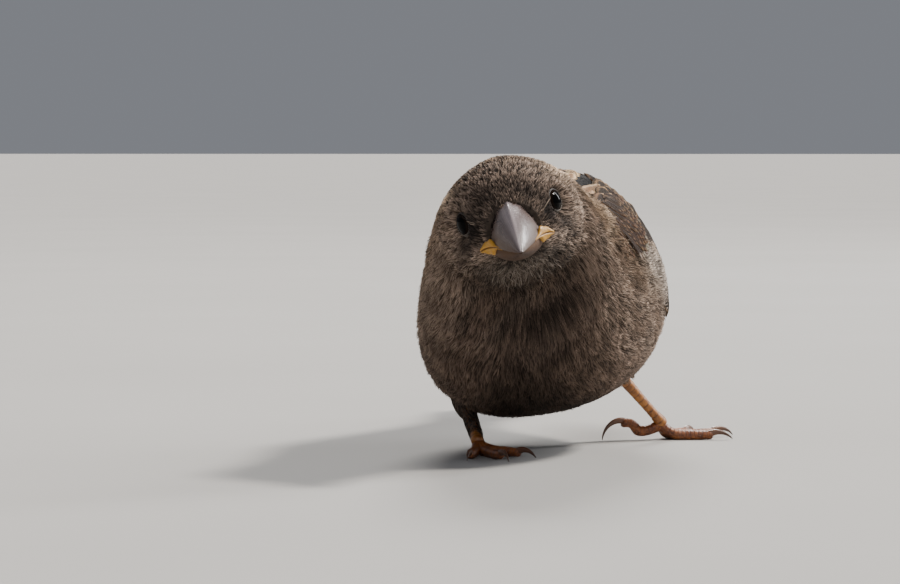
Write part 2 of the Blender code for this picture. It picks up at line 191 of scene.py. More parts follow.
class Wire:
    """A socket in a material's tree: sums on it add Math nodes, and node() adds any other."""

    def __init__(self, tree, socket=None):
        self.tree, self.socket = tree, socket

    def node(self, kind, settings=(), sockets=(), out=0):
        made = self.tree.nodes.new("ShaderNode" + kind)
        for key, value in dict(settings).items():
            setattr(made, key, value)
        for key, value in dict(sockets).items():
            if isinstance(value, Wire):
                self.tree.links.new(value.socket, made.inputs[key])
            else:
                made.inputs[key].default_value = value
        return Wire(self.tree, made.outputs[out])

    def maths(self, operation, *others):
        return self.node("Math", {"operation": operation}, enumerate((self, *others)))

    def __add__(self, other):
        return self.maths("ADD", other)

    def __sub__(self, other):
        return self.maths("SUBTRACT", other)

    def __rsub__(self, other):
        return self.node("Math", {"operation": "SUBTRACT"}, {0: other, 1: self})

    def __mul__(self, other):
        return self.maths("MULTIPLY", other)

    __radd__, __rmul__ = __add__, __mul__

    def rises(self, low, high):
        """0 below low, 1 above high, smooth between."""
        sockets = {"Value": self, "From Min": low, "From Max": high}
        return self.node("MapRange", {"interpolation_type": "SMOOTHSTEP"}, sockets)

    def blend(self, first, second):
        """The first colour where this is 0 and the second where it is 1."""
        first, second = ((*c, 1.0) if isinstance(c, tuple) else c for c in (first, second))
        return self.node("Mix", {"data_type": "RGBA"}, {0: self, 6: first, 7: second}, 2)

    def times(self, other):
        """This colour multiplied by another, or by a number in all its channels."""
        return self.node("VectorMath", {"operation": "MULTIPLY"}, {0: self, 1: other})

    def place(self):
        """The point on the piece, in metres."""
        return self.node("TexCoord", out=3)

    def shade(self):
        """The piece's own colour at each point."""
        return self.node("Attribute", {"attribute_name": "shade"})

    def map(self, name):
        """The two numbers of one of the piece's own maps."""
        places = self.node("UVMap", {"uv_map": name})
        return (self.node("SeparateXYZ", (), {0: places}, k) for k in (0, 1))

    def noise(self, scale, detail):
        """Cloudy noise from 0 to 1 at so many waves to a unit of this place."""
        return self.node("TexNoise", (), {"Vector": self, "Scale": scale, "Detail": detail})

    def fibres(self, across, along, scale, detail):
        """Noise over two numbers of a map, fine in one and drawn out in the other."""
        return self.node("CombineXYZ", (), {0: across, 1: along}).noise(scale, detail)


def finish(name, make, *tones, **constants):
    """A material: make(wire, *tones) gives its shader's links, and constants are set."""
    made = bpy.data.materials.new(name)
    made.use_nodes = True
    tree = made.node_tree
    shader = tree.nodes["Principled BSDF"]
    for socket, value in constants.items():
        shader.inputs[socket.replace("_", " ")].default_value = value
    links = make(Wire(tree), *tones)
    if "Bump" in links:
        height, distance = links.pop("Bump")
        links["Normal"] = height.node("Bump", (), {"Strength": 1.0, "Distance": distance, "Height": height})
    for socket, wire in links.items():
        tree.links.new(wire.socket, shader.inputs[socket])
    return made


def put(name, data):
    """An object with this data, in the scene."""
    made = bpy.data.objects.new(name, data)
    bpy.context.collection.objects.link(made)
    return made


def mesh_object(name, points, faces, material, maps=(), shades=None, smooth=True):
    """An object of points in metres and arrays of corner numbers. A map gives every corner's or
    every point's place, and shades give every point's colour."""
    corners = np.concatenate([group.ravel() for group in faces]).astype(np.int32)
    totals = np.concatenate([np.full(len(group), group.shape[1]) for group in faces])
    mesh = bpy.data.meshes.new(name)
    mesh.vertices.add(len(points))
    mesh.vertices.foreach_set("co", np.asarray(points, np.float32).ravel())
    mesh.loops.add(len(corners))
    mesh.loops.foreach_set("vertex_index", corners)
    mesh.polygons.add(len(totals))
    mesh.polygons.foreach_set("loop_start", (np.cumsum(totals) - totals).astype(np.int32))
    mesh.polygons.foreach_set("use_smooth", np.full(len(totals), smooth))
    mesh.update(calc_edges=True)
    for key, places in dict(maps).items():
        places = places if len(places) == len(corners) else places[corners]
        mesh.uv_layers.new(name=key).data.foreach_set("uv", np.asarray(places, np.float32).ravel())
    if shades is not None:
        layer = mesh.color_attributes.new(name="shade", type="FLOAT_COLOR", domain="POINT")
        shades = np.concatenate([shades, np.ones((len(shades), 1))], 1)
        layer.data.foreach_set("color", shades.astype(np.float32).ravel())
    mesh.materials.append(material)
    return put(name, mesh)


def squares(rows, columns, join_rows=False, join_columns=True):
    """The squares of a grid of points as corner numbers, and each corner's place counted in rows and
    columns. Joined rows or columns run on from the last to the first."""
    spans = np.arange(rows - (not join_rows)), np.arange(columns - (not join_columns))
    i, j = (a.ravel() for a in np.meshgrid(*spans, indexing="ij"))
    places = np.stack([i, j], -1)[:, None] + np.array([[0, 0], [0, 1], [1, 1], [1, 0]])
    return places[..., 0] % rows * columns + places[..., 1] % columns, places


def floor_finish(wire):
    """Matt pale ground with a very faint mottle."""
    return {"Base Color": wire.place().noise(9.0, 4.0).blend((0.36, 0.35, 0.335), (0.41, 0.40, 0.385))}


FLOOR_LINES, FLOOR_REACH = 13, 40.0
line = np.linspace(-1.0, 1.0, FLOOR_LINES) ** 3 * FLOOR_REACH
floor_points = np.stack(np.broadcast_arrays(line, line[:, None], 0.0), -1).reshape(-1, 3)
floor_faces, _ = squares(FLOOR_LINES, FLOOR_LINES, join_columns=False)
floor = mesh_object("floor", floor_points, [floor_faces], finish("floor", floor_finish, Roughness=0.9))

world = bpy.data.worlds.new("surround")
world.use_nodes = True
world.node_tree.nodes["Background"].inputs["Color"].default_value = (0.86, 0.90, 1.0, 1.0)
world.node_tree.nodes["Background"].inputs["Strength"].default_value = 0.24
bpy.context.scene.world = world

# name, the way it comes from, spread in degrees, strength and colour
LAMPS = (
    ("key", (0.62, 0.26, 0.78), 9.0, 4.4, (1.0, 0.94, 0.87)),
    ("rim", (-0.15, 0.90, 0.62), 20.0, 3.2, (1.0, 0.97, 0.93)),
    ("fill", (0.32, -0.85, 0.38), 40.0, 0.50, (0.95, 0.97, 1.0)),
)
for lamp_name, comes_from, lamp_spread, strength, colour in LAMPS:
    lamp = bpy.data.lights.new(lamp_name, "SUN")
    lamp.angle, lamp.energy, lamp.color = np.radians(lamp_spread), strength, colour
    put(lamp_name, lamp).rotation_euler = Vector(comes_from).to_track_quat("Z", "Y").to_euler()

# a tall strip lamp behind the bird's left side draws the bright edge on eye and cheek
lamp = bpy.data.lights.new("strip", "AREA")
lamp.shape, lamp.size, lamp.size_y, lamp.energy = "RECTANGLE", 0.14, 0.9, 17.0
strip = put("strip", lamp)
comes_from = Vector((0.62, 0.57, 0.50))
strip.location = comes_from * 1.5
strip.rotation_euler = comes_from.to_track_quat("Z", "Y").to_euler()
strip.visible_camera = False

CAMERA_TURN, CAMERA_DIP = np.radians([10.0, 2.56])
CAMERA_BACK, CAMERA_LEFT, CAMERA_HEIGHT = 0.5, 0.0093, 0.051
ahead = np.array([-np.sin(CAMERA_TURN), np.cos(CAMERA_TURN)])
aside = np.array([np.cos(CAMERA_TURN), np.sin(CAMERA_TURN)])
camera = bpy.data.cameras.new("camera")
camera.lens, camera.sensor_width, camera.clip_start = 127.0, 36.0, 0.01
camera_object = put("camera", camera)
stand = (EYES_MIDDLE + STANDS_AT)[:2] / 1000 - CAMERA_BACK * ahead - CAMERA_LEFT * aside
camera_object.location = (*stand, CAMERA_HEIGHT)
camera_object.rotation_euler = (np.pi / 2 - CAMERA_DIP, 0.0, CAMERA_TURN)
bpy.context.scene.camera = camera_object


# --- skin -------------------------------------------------------------------------------------
# The tanned skin under the feathers, one closed surface from the bill to the tail's root with the
# two thighs grown into it. It lies inside the coat's surface by the coat's depth and carries the
# coat's own markings darkened: painted shade of the deep partings over the real dark feather
# bases, so that a parting in the feathers shows nothing new but painted shade.

# hip, ankle and ball of the foot, how far the feathers reach down the shank, the thigh's share that
# has skin, the middle toe's heading, and the hind toe's turn from it and arch
LEGS = {
    "left": {
        "hip": (7.5, 10.0, 24.0),
        "ankle": (11.6, 14.8, 12.0),
        "ball": (18.1, 21.3, 3.4),
        "sleeve": 2.4,
        "skin": 0.84,
        "heading": 42.0,
        "hind": (160.0, 2.2),
    },
    "right": {
        "hip": (-11.5, 8.0, 22.0),
        "ankle": (-13.8, 2.6, 8.6),
        "ball": (-9.2, -9.8, 2.2),
        "sleeve": 5.0,
        "skin": 1.0,
        "heading": -62.0,
        "hind": (196.0, 0.0),
    },
}
THIGH_RADIUS, SLEEVE_RADIUS = 4.9, 1.8

# the folded wing's upper and lower edges, and the flank feathers' edge that laps over it, as (u, v)
UPPER_EDGE = (
    (6.2, 72), (6.5, 58), (7.0, 46), (7.7, 40), (8.6, 37), (9.4, 27), (10.6, 12), (11.8, 9), (12.7, 12),
    (13.6, 18), (14.4, 26),
)
LOWER_EDGE = (
    (6.1, 80), (6.5, 78), (7.0, 76), (7.7, 78), (8.4, 89), (9.2, 98), (10.6, 98), (11.8, 90), (12.7, 76),
    (13.6, 66), (14.4, 52),
)
FLANK_EDGE = (
    (6.1, 78), (6.5, 71), (7.0, 63), (7.85, 53), (8.25, 56), (8.5, 64), (8.75, 79), (9.1, 91), (9.6, 96),
    (10.6, 98), (12.7, 78),
)

# FLANK_PAINTED_LIGHT is paler than the breast partly by its real colour and partly as painted light
CROWN, CHEEK, CHIN = (0.205, 0.152, 0.118), (0.300, 0.226, 0.176), (0.118, 0.094, 0.076)
BREAST, FLANK_PAINTED_LIGHT, BELLY_PAINTED_SHADE = (0.150, 0.106, 0.080), (0.220, 0.165, 0.127), (0.022, 0.015, 0.011)
RUMP, BUFF, LORES = (0.150, 0.118, 0.090), (0.50, 0.38, 0.27), (0.030, 0.023, 0.020)
VENT, MANTLE, FLUFF = (0.26, 0.22, 0.18), (0.17, 0.115, 0.072), (0.47, 0.41, 0.355)
# forehead, lores, throat, three marks below the eye and the brow behind it: share, middle and
# half-width in u, the same round v, how the middle shifts with u, and colour. The throat mark is
# partly a real dark bib and partly painted shade, and the first and third marks below the eye are
# partly real dark mottle and partly painted shade.
SPOTS = (
    (0.70, 1.3, 1.00, 35.0, 36.0, 0.0, LORES),
    (1.15, 1.4, 1.25, 82.0, 22.0, 0.0, LORES),
    # painted shade: the throat mark takes the belly's painted-shade colour over a real dark bib
    (0.60, 4.4, 1.30, 165.0, 32.0, 0.0, BELLY_PAINTED_SHADE),
    # this mark and the one at 104 degrees: real dark mottle with painted shade below the eye
    (0.75, 2.9, 0.70, 112.0, 9.0, 0.0, CHIN),
    (0.80, 3.6, 0.90, 119.6, 4.0, -4.0, LORES),
    (0.90, 2.4, 0.90, 104.0, 10.0, 0.0, LORES),
    (0.95, 4.9, 0.80, 57.0, 11.0, 0.0, BUFF),
)


def depth(u):
    """How far the skin lies under the coat's surface: thin on the face, deepest on the trunk."""
    return np.interp(u, [0.0, 2.0, 5.0, 7.0, 12.0, 13.6], [0.15, 0.35, 0.7, 1.2, 1.1, 0.5])


def mixed(share, first, second):
    """Two colours blended by a share for each point."""
    share = np.clip(share, 0.0, 1.0)[..., None]
    return (1 - share) * np.asarray(first) + share * np.asarray(second)


def swell(x, middle, half):
    """A smooth hill, 1 in the middle and about 0.37 at one half-width away."""
    return np.exp(-(((x - middle) / half) ** 2))


def signed(v):
    """An angle round the body, brought between -180 and 180."""
    return (v + 180.0) % 360.0 - 180.0


def ripple(u, v, scale, seed):
    """Slow smooth noise about zero over the form: a sum of six sine waves of random direction."""
    chance = np.random.default_rng(seed)
    total = 0.0
    for _ in range(6):
        turn, phase, pace = chance.uniform(0, 2 * np.pi, 2).tolist() + [chance.uniform(0.6, 1.6)]
        wave = np.round(np.cos(turn) * scale * pace * 4)
        total = total + np.sin(np.sin(turn) * scale * pace * u * 3 + np.radians(v) * wave + phase)
    return total / 6**0.5


def at_edge(u, edge):
    """The angle round the body of one of the wing's edges."""
    return np.interp(u, *np.transpose(edge))


def wing_v(u, w):
    """The angle round the body at a share w of the way from the wing's upper to its lower edge."""
    return at_edge(u, UPPER_EDGE) + (at_edge(u, LOWER_EDGE) - at_edge(u, UPPER_EDGE)) * w


def on_wing(u, v):
    """Whether a place lies under the folded wing, above the flank feathers that lap over it."""
    side = np.abs(signed(v))
    return (u > 6.12) & (side > at_edge(u, UPPER_EDGE) + 1.0) & (side < at_edge(u, FLANK_EDGE) - 1.0)


def markings(u, v):
    """The colour of the plumage at a place: fields of brown that run into each other along u and
    round v, the spots, a buff line beside the wing and pale fluff below it, mottled by ripples."""
    v = signed(np.asarray(v))
    side = np.abs(v)
    shade = mixed((side - 50) / 25, CROWN, CHEEK)
    shade = mixed((side - 118) / 22, shade, CHIN)
    # the flanks are paler here partly through painted light
    trunk = mixed((side - 70) / 25, MANTLE, FLANK_PAINTED_LIGHT)
    trunk = mixed((side - 100) / 42, trunk, BREAST)
    shade = mixed((u - 3.4 - 0.5 * ripple(u, v, 2.0, 4)) / 2.2, shade, trunk)
    # painted shade: the underside's near-black belly is far darker than the belly's real pale buff-grey
    shade = mixed((u - 5.0) / 1.9 * np.clip((side - 143) / 26, 0, 1), shade, BELLY_PAINTED_SHADE)
    shade = mixed((u - 9.6) / 1.5, shade, mixed((side - 80) / 40, RUMP, VENT))
    for share, at_u, half_u, at_v, half_v, shift, colour in SPOTS:
        spot = swell(u, at_u, half_u) * swell(side, at_v + shift * (u - at_u), half_v)
        shade = mixed(share * spot, shade, colour)
    front = np.interp(side, [30, 41, 69, 80, 95], [7.6, 7.05, 6.28, 6.05, 5.9])
    shade = mixed(0.5 * swell(u, front - 0.12, 0.16) * swell(side, 64, 24), shade, BUFF)
    shade = mixed(0.85 * swell(u, 8.2, 0.95) * swell(side, 76 + 8 * (u - 8.2), 13), shade, FLUFF)
    return shade * (1 + 0.16 * ripple(u, v, 3.0, 5) + 0.16 * ripple(u, v, 8.0, 6))[..., None]


def volume(points, faces):
    """Six times the volume inside the faces, negative where they face inwards."""
    total = 0.0
    for group in faces:
        corners = points[group]
        for k in range(1, group.shape[1] - 1):
            total += (corners[:, 0] * np.cross(corners[:, k], corners[:, k + 1])).sum()
    return total


def loft(rings):
    """Faces of a closed surface through rings, turned outwards, with a fan to a middle point at
    each end, and each corner's place counted in rings and points. The middle points come last."""
    count, around = rings.shape[:2]
    points = np.concatenate([rings.reshape(-1, 3), rings[[0, -1]].mean(axis=1)])
    faces, places = ([group] for group in squares(count, around))
    for ring, beyond, steps in ((0, -1, (1, 0, 0.5)), (count - 1, count, (0, 1, 0.5))):
        turn = np.arange(around)[:, None] + np.array(steps)
        corners = ring * around + turn[:, :2].astype(int) % around
        middle = np.full((around, 1), count * around + (ring > 0))
        faces.append(np.concatenate([corners, middle], 1))
        places.append(np.stack([np.array([ring, ring, beyond]) + 0 * turn, turn], -1))
    if volume(points, faces) < 0:
        faces, places = ([group[:, ::-1] for group in groups] for groups in (faces, places))
    return points, faces, np.concatenate([group.reshape(-1, 2) for group in places])


def piece(name, points, faces, material, maps=(), shades=None, replaces=(), smooth=True):
    """An object from points in the bird's own axes, turned outwards, which rides on the bird."""
    faces = faces if volume(points, faces) > 0 else [group[:, ::-1] for group in faces]
    made = mesh_object(name, (points + STANDS_AT) / 1000, faces, material, maps, shades, smooth)
    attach(made, "root")
    if replaces:
        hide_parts(*replaces)


def plumage_finish(wire):
    """Matt feather colour from the piece's own shades, with fine dark and light flecks."""
    fleck = wire.place().noise(2600.0, 3.0)
    tone = 0.62 + 0.52 * fleck + 0.24 * wire.place().noise(420.0, 2.0)
    return {"Base Color": wire.shade().times(tone), "Roughness": 0.72 + 0.2 * fleck}


plumage = finish("plumage", plumage_finish, Specular_IOR_Level=0.15)


def limb_form(path, radius):
    """The surface round a limb's middle line: u is the share of the line, v the angle round it, and
    path and radius are functions of the share."""

    def form(u, v, out=0.0):
        u, v, out = np.broadcast_arrays(u, v, out)
        t, angle = u[..., None], np.radians(v)[..., None]
        along = unit(path(t + 0.01) - path(t - 0.01))
        aside = unit(np.cross((0.0, -1.0, 0.0), along))
        rim = np.cos(angle) * np.cross(along, aside) + np.sin(angle) * aside
        return path(t) + (radius(t) + out[..., None]) * rim

    return form


def thigh_form(side):
    """A thigh, bent at the knee, whose radius falls from the hip's to the sleeve's as 1 - u^1.4."""
    hip, ankle, ball = (np.array(LEGS[side][key]) for key in ("hip", "ankle", "ball"))
    down = unit(ankle - ball)
    knee, end = ankle + down, ankle - down * LEGS[side]["sleeve"]
    return limb_form(
        lambda t: (1 - t) ** 2 * hip + 2 * t * (1 - t) * knee + t**2 * end,
        lambda t: SLEEVE_RADIUS + (THIGH_RADIUS - SLEEVE_RADIUS) * (1 - t**1.4),
    )


SKIN_COLUMNS, THIGH_ROWS, THIGH_COLUMNS = 216, 24, 32
skin_rows = np.concatenate([np.linspace(0.0, 5.6, 120)[:-1], np.linspace(5.6, 13.4, 70)])
skin_u, skin_v = np.meshgrid(skin_rows, np.arange(SKIN_COLUMNS) / SKIN_COLUMNS * 360.0, indexing="ij")
points, faces, _ = loft(flesh(skin_u, skin_v, -depth(skin_u)))
# painted shade: the skin's colours at 0.30 of the markings are darkened for the shade under the coat, over
# real dark feather bases
shades = np.concatenate([markings(skin_u, skin_v).reshape(-1, 3), [LORES, VENT]]) * 0.30
for side in SIDES:
    reach = np.linspace(0.0, LEGS[side]["skin"], THIGH_ROWS)[:, None]
    around = np.arange(THIGH_COLUMNS) / THIGH_COLUMNS * 360.0
    thigh, thigh_faces, _ = loft(thigh_form(side)(reach, around, -0.7 - 0.3 * reach))
    faces += [group + len(points) for group in thigh_faces]
    # painted shade: the thigh skin at 0.45 of VENT is darkened for the shade under the coat
    shades = np.concatenate([shades, np.tile(np.array(VENT) * 0.45, (len(thigh), 1))])
    points = np.concatenate([points, thigh])
piece("skin", points, faces, plumage, shades=shades,
      replaces=("head", "neck", "trunk", "thigh_left", "thigh_right"))


# --- eyes -------------------------------------------------------------------------------------
# Blown glass eyes, black with a dark brown iris under a glossy surface, set in the sockets
# and held by two thin lids whose beaded edge makes the pale ring.


def turns(count):
    """Angles evenly round a full turn."""
    return np.arange(count) / count * 2 * np.pi


def round_path(points, radii, around, upright=(0.0, 0.0, 1.0)):
    """Rings of the given radii round a path, each square to it and starting at its upper side."""
    along = unit(np.gradient(points, axis=0))
    aside = unit(np.cross(upright, along))
    above = np.cross(along, aside)
    angle = turns(around)[:, None]
    rim = np.cos(angle) * above[:, None] + np.sin(angle) * aside[:, None]
    return points[:, None] + np.reshape(radii, (len(points), -1, 1)) * rim


def eye_finish(wire):
    """A black pupil in a dark brown iris with fine rays, by the distance from the front pole."""
    turn, reach = wire.map("eye")
    iris = reach.rises(0.30, 0.34) * (1 - reach.rises(0.50, 0.56))
    rays = wire.fibres(turn * 40.0, reach * 3.0, 3.0, 3.0)
    brown = rays.blend((0.004, 0.0025, 0.002), (0.014, 0.008, 0.005))
    return {"Base Color": iris.blend((0.002, 0.002, 0.002), brown)}


def lid_finish(wire):
    """Bare skin with fine wrinkles, dark above and in front and pale below and behind."""
    grain = wire.place().noise(5200.0, 3.0)
    colour = (grain.rises(0.35, 0.65) * 0.6).blend(wire.shade(), (0.05, 0.04, 0.032))
    return {"Base Color": colour, "Bump": (grain, 0.00008)}


EYE_ROWS, EYE_COLUMNS, LID_ROWS, LID_COLUMNS = 40, 48, 160, 12
eye_material = finish("eye", eye_finish, Roughness=0.04, IOR=1.12)
lid_material = finish("eyelid", lid_finish, Roughness=0.6)
for side, sign in SIDES.items():
    centre, looks = EYE_AT * [sign, 1, 1], eye_axis(sign)
    turn = np.radians(np.linspace(3.0, 177.0, EYE_ROWS))
    path = centre + EYE_RADIUS * np.cos(turn)[:, None] * looks
    points, faces, places = loft(in_head(round_path(path, EYE_RADIUS * np.sin(turn), EYE_COLUMNS)))
    eye_map = places[:, ::-1] / [EYE_COLUMNS, EYE_ROWS] * [1.0, 1.9]
    piece(f"eyeball_{side}", points, faces, eye_material, {"eye": eye_map}, replaces=(f"eye_{side}",))
    # the lid is a thin ring laid on the ball, beaded by low waves, wider and paler below and behind:
    # it runs from LID_RADIUS - 0.08 - 0.25 cover to LID_RADIUS + 0.2 from the axis
    around, section = turns(LID_ROWS)[:, None], turns(LID_COLUMNS)
    downward = unit(np.cross(looks, [1.0, 0, 0]))
    backward = np.cross(downward, looks) * sign
    cover = np.clip(np.cos(around - 0.5), 0.0, 1.0)
    inner, outer = LID_RADIUS - 0.08 - 0.25 * cover, LID_RADIUS + 0.2
    across = (inner + outer) / 2 + (outer - inner) / 2 * np.cos(section)
    bead = 0.10 + 0.03 * np.cos(34 * around) + 0.02 * np.cos(5 * around + 1.0)
    height = np.sqrt(EYE_RADIUS**2 - across**2) + 0.04 + bead * np.sin(section)
    way = np.cos(around)[..., None] * downward + np.sin(around)[..., None] * backward
    lid = in_head(centre + across[..., None] * way + height[..., None] * looks)
    pale = np.clip(0.1 + 0.9 * np.cos(around - 0.9), 0.0, 1.0) * (0.55 + 0.45 * np.cos(23 * around))
    shades = np.repeat(mixed(pale[:, 0], LORES, (0.34, 0.29, 0.24)), LID_COLUMNS, axis=0)
    faces, _ = squares(LID_ROWS, LID_COLUMNS, join_rows=True)
    piece(f"eyelid_{side}", lid.reshape(-1, 3), [faces], lid_material, shades=shades)


# --- bill -------------------------------------------------------------------------------------
# A stout seed-eater's bill of horn in two halves, grey-mauve above with a pale ridge that is partly
# a painted highlight, tan below, with slit nostrils at its root and the yellow fleshy corners of
# the mouth of a young bird.

BILL_START, UPPER_TIP, LOWER_TIP = 6.4, 18.2, 17.0
BILL_HALF_WIDTH, BILL_POINT = 4.0, 0.3
BILL_TOP, BILL_BOTTOM, BILL_TIP_LEVEL = 2.7, -6.4, -3.5
EDGE_LEVEL, EDGE_DIP = -2.9, 0.9
MOUTH_GAP = 0.06  # from the middle of the mouth's line to either edge
BILL_ROWS, BILL_COLUMNS, BILL_FLOOR_COLUMNS = 70, 64, 14


def bill_outline(grown, root_level, side_of_edge):
    """Half-width, ridge or keel, and cutting edge of one half at a share s of its length: the first
    two fall to the tip's as (1 - s^1.5)^0.95 and 1 - s^1.6, and the edge dips by (1 - s)^4."""
    width = BILL_POINT + (BILL_HALF_WIDTH - BILL_POINT) * (1 - grown**1.5) ** 0.95
    point = BILL_TIP_LEVEL + side_of_edge * BILL_POINT
    outer = point + (root_level - point) * (1 - grown**1.6)
    edge = EDGE_LEVEL + (BILL_TIP_LEVEL - EDGE_LEVEL) * grown - EDGE_DIP * (1 - grown) ** 4
    return width, outer, edge


def half_bill(tip, root_level, side_of_edge):
    """Rings of one half: x = width sin t and z = edge + (outer - edge) cos^p t as t crosses the arch,
    then back over a floor hollowed towards the arch. The upper half has a ridge and two nostrils."""
    s = np.linspace(-0.09, 1.0, BILL_ROWS)[:, None]
    grown = np.clip(s, 0.0, 1.0)
    forward = BILL_START + (tip - BILL_START) * s
    width, outer, edge = bill_outline(grown, root_level, side_of_edge)
    edge = edge + side_of_edge * MOUTH_GAP
    turn = np.linspace(-90.0, 90.0, BILL_COLUMNS)[None]
    arch = np.abs(np.cos(np.radians(turn))) ** (1.2 if side_of_edge > 0 else 0.9)
    if side_of_edge > 0:
        ridge = 0.05 * swell(turn, 0, 7) * (1 - grown**3) - 0.03 * swell(turn, 0, 28)
        nostrils = 0.16 * swell(s, 0.045, 0.045) * swell(np.abs(turn), 47, 9)
        arch = arch + ridge - nostrils
    back = np.linspace(1.0, -1.0, BILL_FLOOR_COLUMNS + 2)[None, 1:-1]
    hollow = 0.35 * (outer - edge) * (1 - back**2) * (1 - grown)
    over = np.broadcast_arrays(width * np.sin(np.radians(turn)), forward, edge + (outer - edge) * arch)
    under = np.broadcast_arrays(width * back * 0.985, forward, edge + hollow)
    return in_head(np.concatenate([np.stack(over, -1), np.stack(under, -1)], axis=1))


def horn(wire, low, high, ridge, side_tone, roughness, gloss):
    """Horn whose colour runs from root to tip and from ridge to edge, with fibres along it."""
    around, along = wire.map("horn")
    middle = (around - 0.5).maths("ABSOLUTE") * 2.0
    fibre = wire.fibres(around * 60.0, along * 2.5, 1.6, 4.0)
    cloud = wire.place().noise(420.0, 3.0)
    # the upper half's pale ridge colour is partly a painted highlight along the culmen
    tone = (1 - middle.rises(0.04, 0.40)).blend(along.blend(low, high), ridge)
    tone = middle.rises(0.35, 0.90).blend(tone, side_tone)
    tone = (cloud.rises(0.45, 0.75) * 0.45).blend(tone, (0.10, 0.07, 0.06))
    tone = (fibre.rises(0.55, 0.8) * 0.30).blend(tone, (0.09, 0.065, 0.06))
    growth = (along * 160.0).maths("SINE")
    return {
        "Base Color": tone,
        "Roughness": roughness + 0.20 * cloud + 0.25 * middle.rises(0.45, 0.8),
        "Coat Weight": (1 - middle.rises(0.4, 0.75)) * gloss,
        "Bump": (fibre * 0.7 + growth * 0.08 + cloud * 0.5, 0.00009),
    }


# tip, level at the root and side of the cutting edge; then the horn's specular level, its colours
# at root, tip, ridge and edge, its roughness and its gloss. The upper half's pale ridge colour is
# partly a painted highlight.
HALVES = {
    "upper": (
        (UPPER_TIP, BILL_TOP, 1.0), 0.55, (0.125, 0.086, 0.078), (0.130, 0.094, 0.088),
        (0.30, 0.25, 0.255), (0.070, 0.034, 0.019), 0.15, 0.60,
    ),
    "lower": (
        (LOWER_TIP, BILL_BOTTOM, -1.0), 0.28, (0.080, 0.042, 0.022), (0.048, 0.028, 0.020),
        (0.068, 0.036, 0.020), (0.090, 0.048, 0.026), 0.45, 0.05,
    ),
}
for half, (shape, gleam, *tones) in HALVES.items():
    points, faces, places = loft(half_bill(*shape))
    horn_map = places[:, ::-1] / [BILL_COLUMNS - 1, BILL_ROWS]
    horn_material = finish(f"horn_{half}", horn, *tones, Coat_Roughness=0.2, Specular_IOR_Level=gleam)
    piece(f"bill_{half}", points, faces, horn_material, {"horn": horn_map},
          replaces=(f"{half}_mandible",))


def gape_finish(wire):
    """Soft yellow skin, more orange in its folds."""
    fold = wire.place().noise(1500.0, 3.0)
    colour = (fold.rises(0.35, 0.7) * 0.5).blend(wire.shade(), (0.34, 0.155, 0.012))
    return {"Base Color": colour, "Bump": (fold, 0.00015)}


GAPE_ROWS, GAPE_COLUMNS = 40, 48
GAPE_BACK, GAPE_BEND, GAPE_FRONT = (5.9, 6.9, -3.65), (4.0, 7.7, -2.75), (2.5, 12.2, -3.15)
gape_material = finish("gape", gape_finish, Roughness=0.5, Coat_Weight=0.1)
for side, sign in SIDES.items():
    # one folded flange runs from the corner of the mouth forward along the bill's edge. Its section
    # is an ellipse, tall = 0.4 + 0.95 e^(-((s - 0.54) / h)^2) with a shorter h on the bill's side,
    # with a groove in its outer face
    s, angle = np.linspace(0.0, 1.0, GAPE_ROWS)[:, None], turns(GAPE_COLUMNS)
    path = (1 - s) ** 2 * GAPE_BACK + 2 * s * (1 - s) * GAPE_BEND + s**2 * GAPE_FRONT
    tall = 0.40 - 0.18 * s + 0.95 * swell(s, 0.54, np.where(s < 0.54, 0.36, 0.12))
    tall = tall * (1 + 0.07 * np.cos(23 * s))
    thick = 0.50 - 0.15 * s
    radius = 1 / np.sqrt((np.cos(angle) / tall) ** 2 + (np.sin(angle) / thick) ** 2)
    groove = swell(np.degrees(angle) % 180.0, 88 - 10 * s, 13)
    radius = radius * (1 - 0.5 * groove) * (1 - np.exp(-14 * (s + 0.03)))
    points, faces, _ = loft(in_head(round_path(path * [sign, 1, 1], radius, GAPE_COLUMNS)))
    # painted shade: the groove's near-black is the shade in the slit between the flange's lips
    shades = mixed(np.append(groove, [0.0, 0.0]) * 1.3, (0.47, 0.235, 0.014), (0.07, 0.018, 0.006))
    piece(f"gape_flange_{side}", points, faces, gape_material, shades=shades,
          replaces=(f"gape_{side}",))


# --- coat of barbs ----------------------------------------------------------------------------
# The loose outer ends of the small feathers on head, neck, breast, belly and rump, each feather a
# tuft of solid barbs glued in the skin, fanned out and lying back along the body. They are short
# round the bill and eyes and longest on the flanks.


SURVEY = 161  # lines each way on which an area is measured
GOLDEN_STEPS = (0.7548776662, 0.5698402910)  # a pair whose multiples fill a square most evenly
# where the three rings and the end lie along a barb, and how pale it is at each
BARB_STEPS, BARB_TONES = np.array([0.0, 0.35, 0.72, 1.0]), np.array([0.25, 0.70, 1.10, 1.45])
DARK_SHARE = 0.30  # of the strands
PATCH = 0.003  # a tuft's size on the baking map


def spread(form, spacing, u_span, v_span):
    """Root places, evenly over the area, one to each spacing squared: a golden sequence of pairs
    carried through the running totals of area along u and then round v."""
    us, vs = np.linspace(*u_span, SURVEY), np.linspace(*v_span, SURVEY)
    points = form(*np.meshgrid(us, vs, indexing="ij"))
    area = np.linalg.norm(np.cross(np.gradient(points, axis=0), np.gradient(points, axis=1)), axis=-1)
    count = int(area.sum() / spacing**2)
    target_row, target = ((0.5 + np.arange(count) * step) % 1 for step in GOLDEN_STEPS)
    lines = np.arange(float(SURVEY))
    totals = np.cumsum(area.sum(axis=1))
    row = np.interp(target_row, totals / totals[-1], lines)
    columns = np.cumsum(area, axis=1) / area.sum(axis=1, keepdims=True)
    place = np.interp(target + np.floor(row), (columns + lines[:, None]).ravel(), np.tile(lines, SURVEY))
    return np.interp(row, lines, us), np.interp(place, lines, vs)


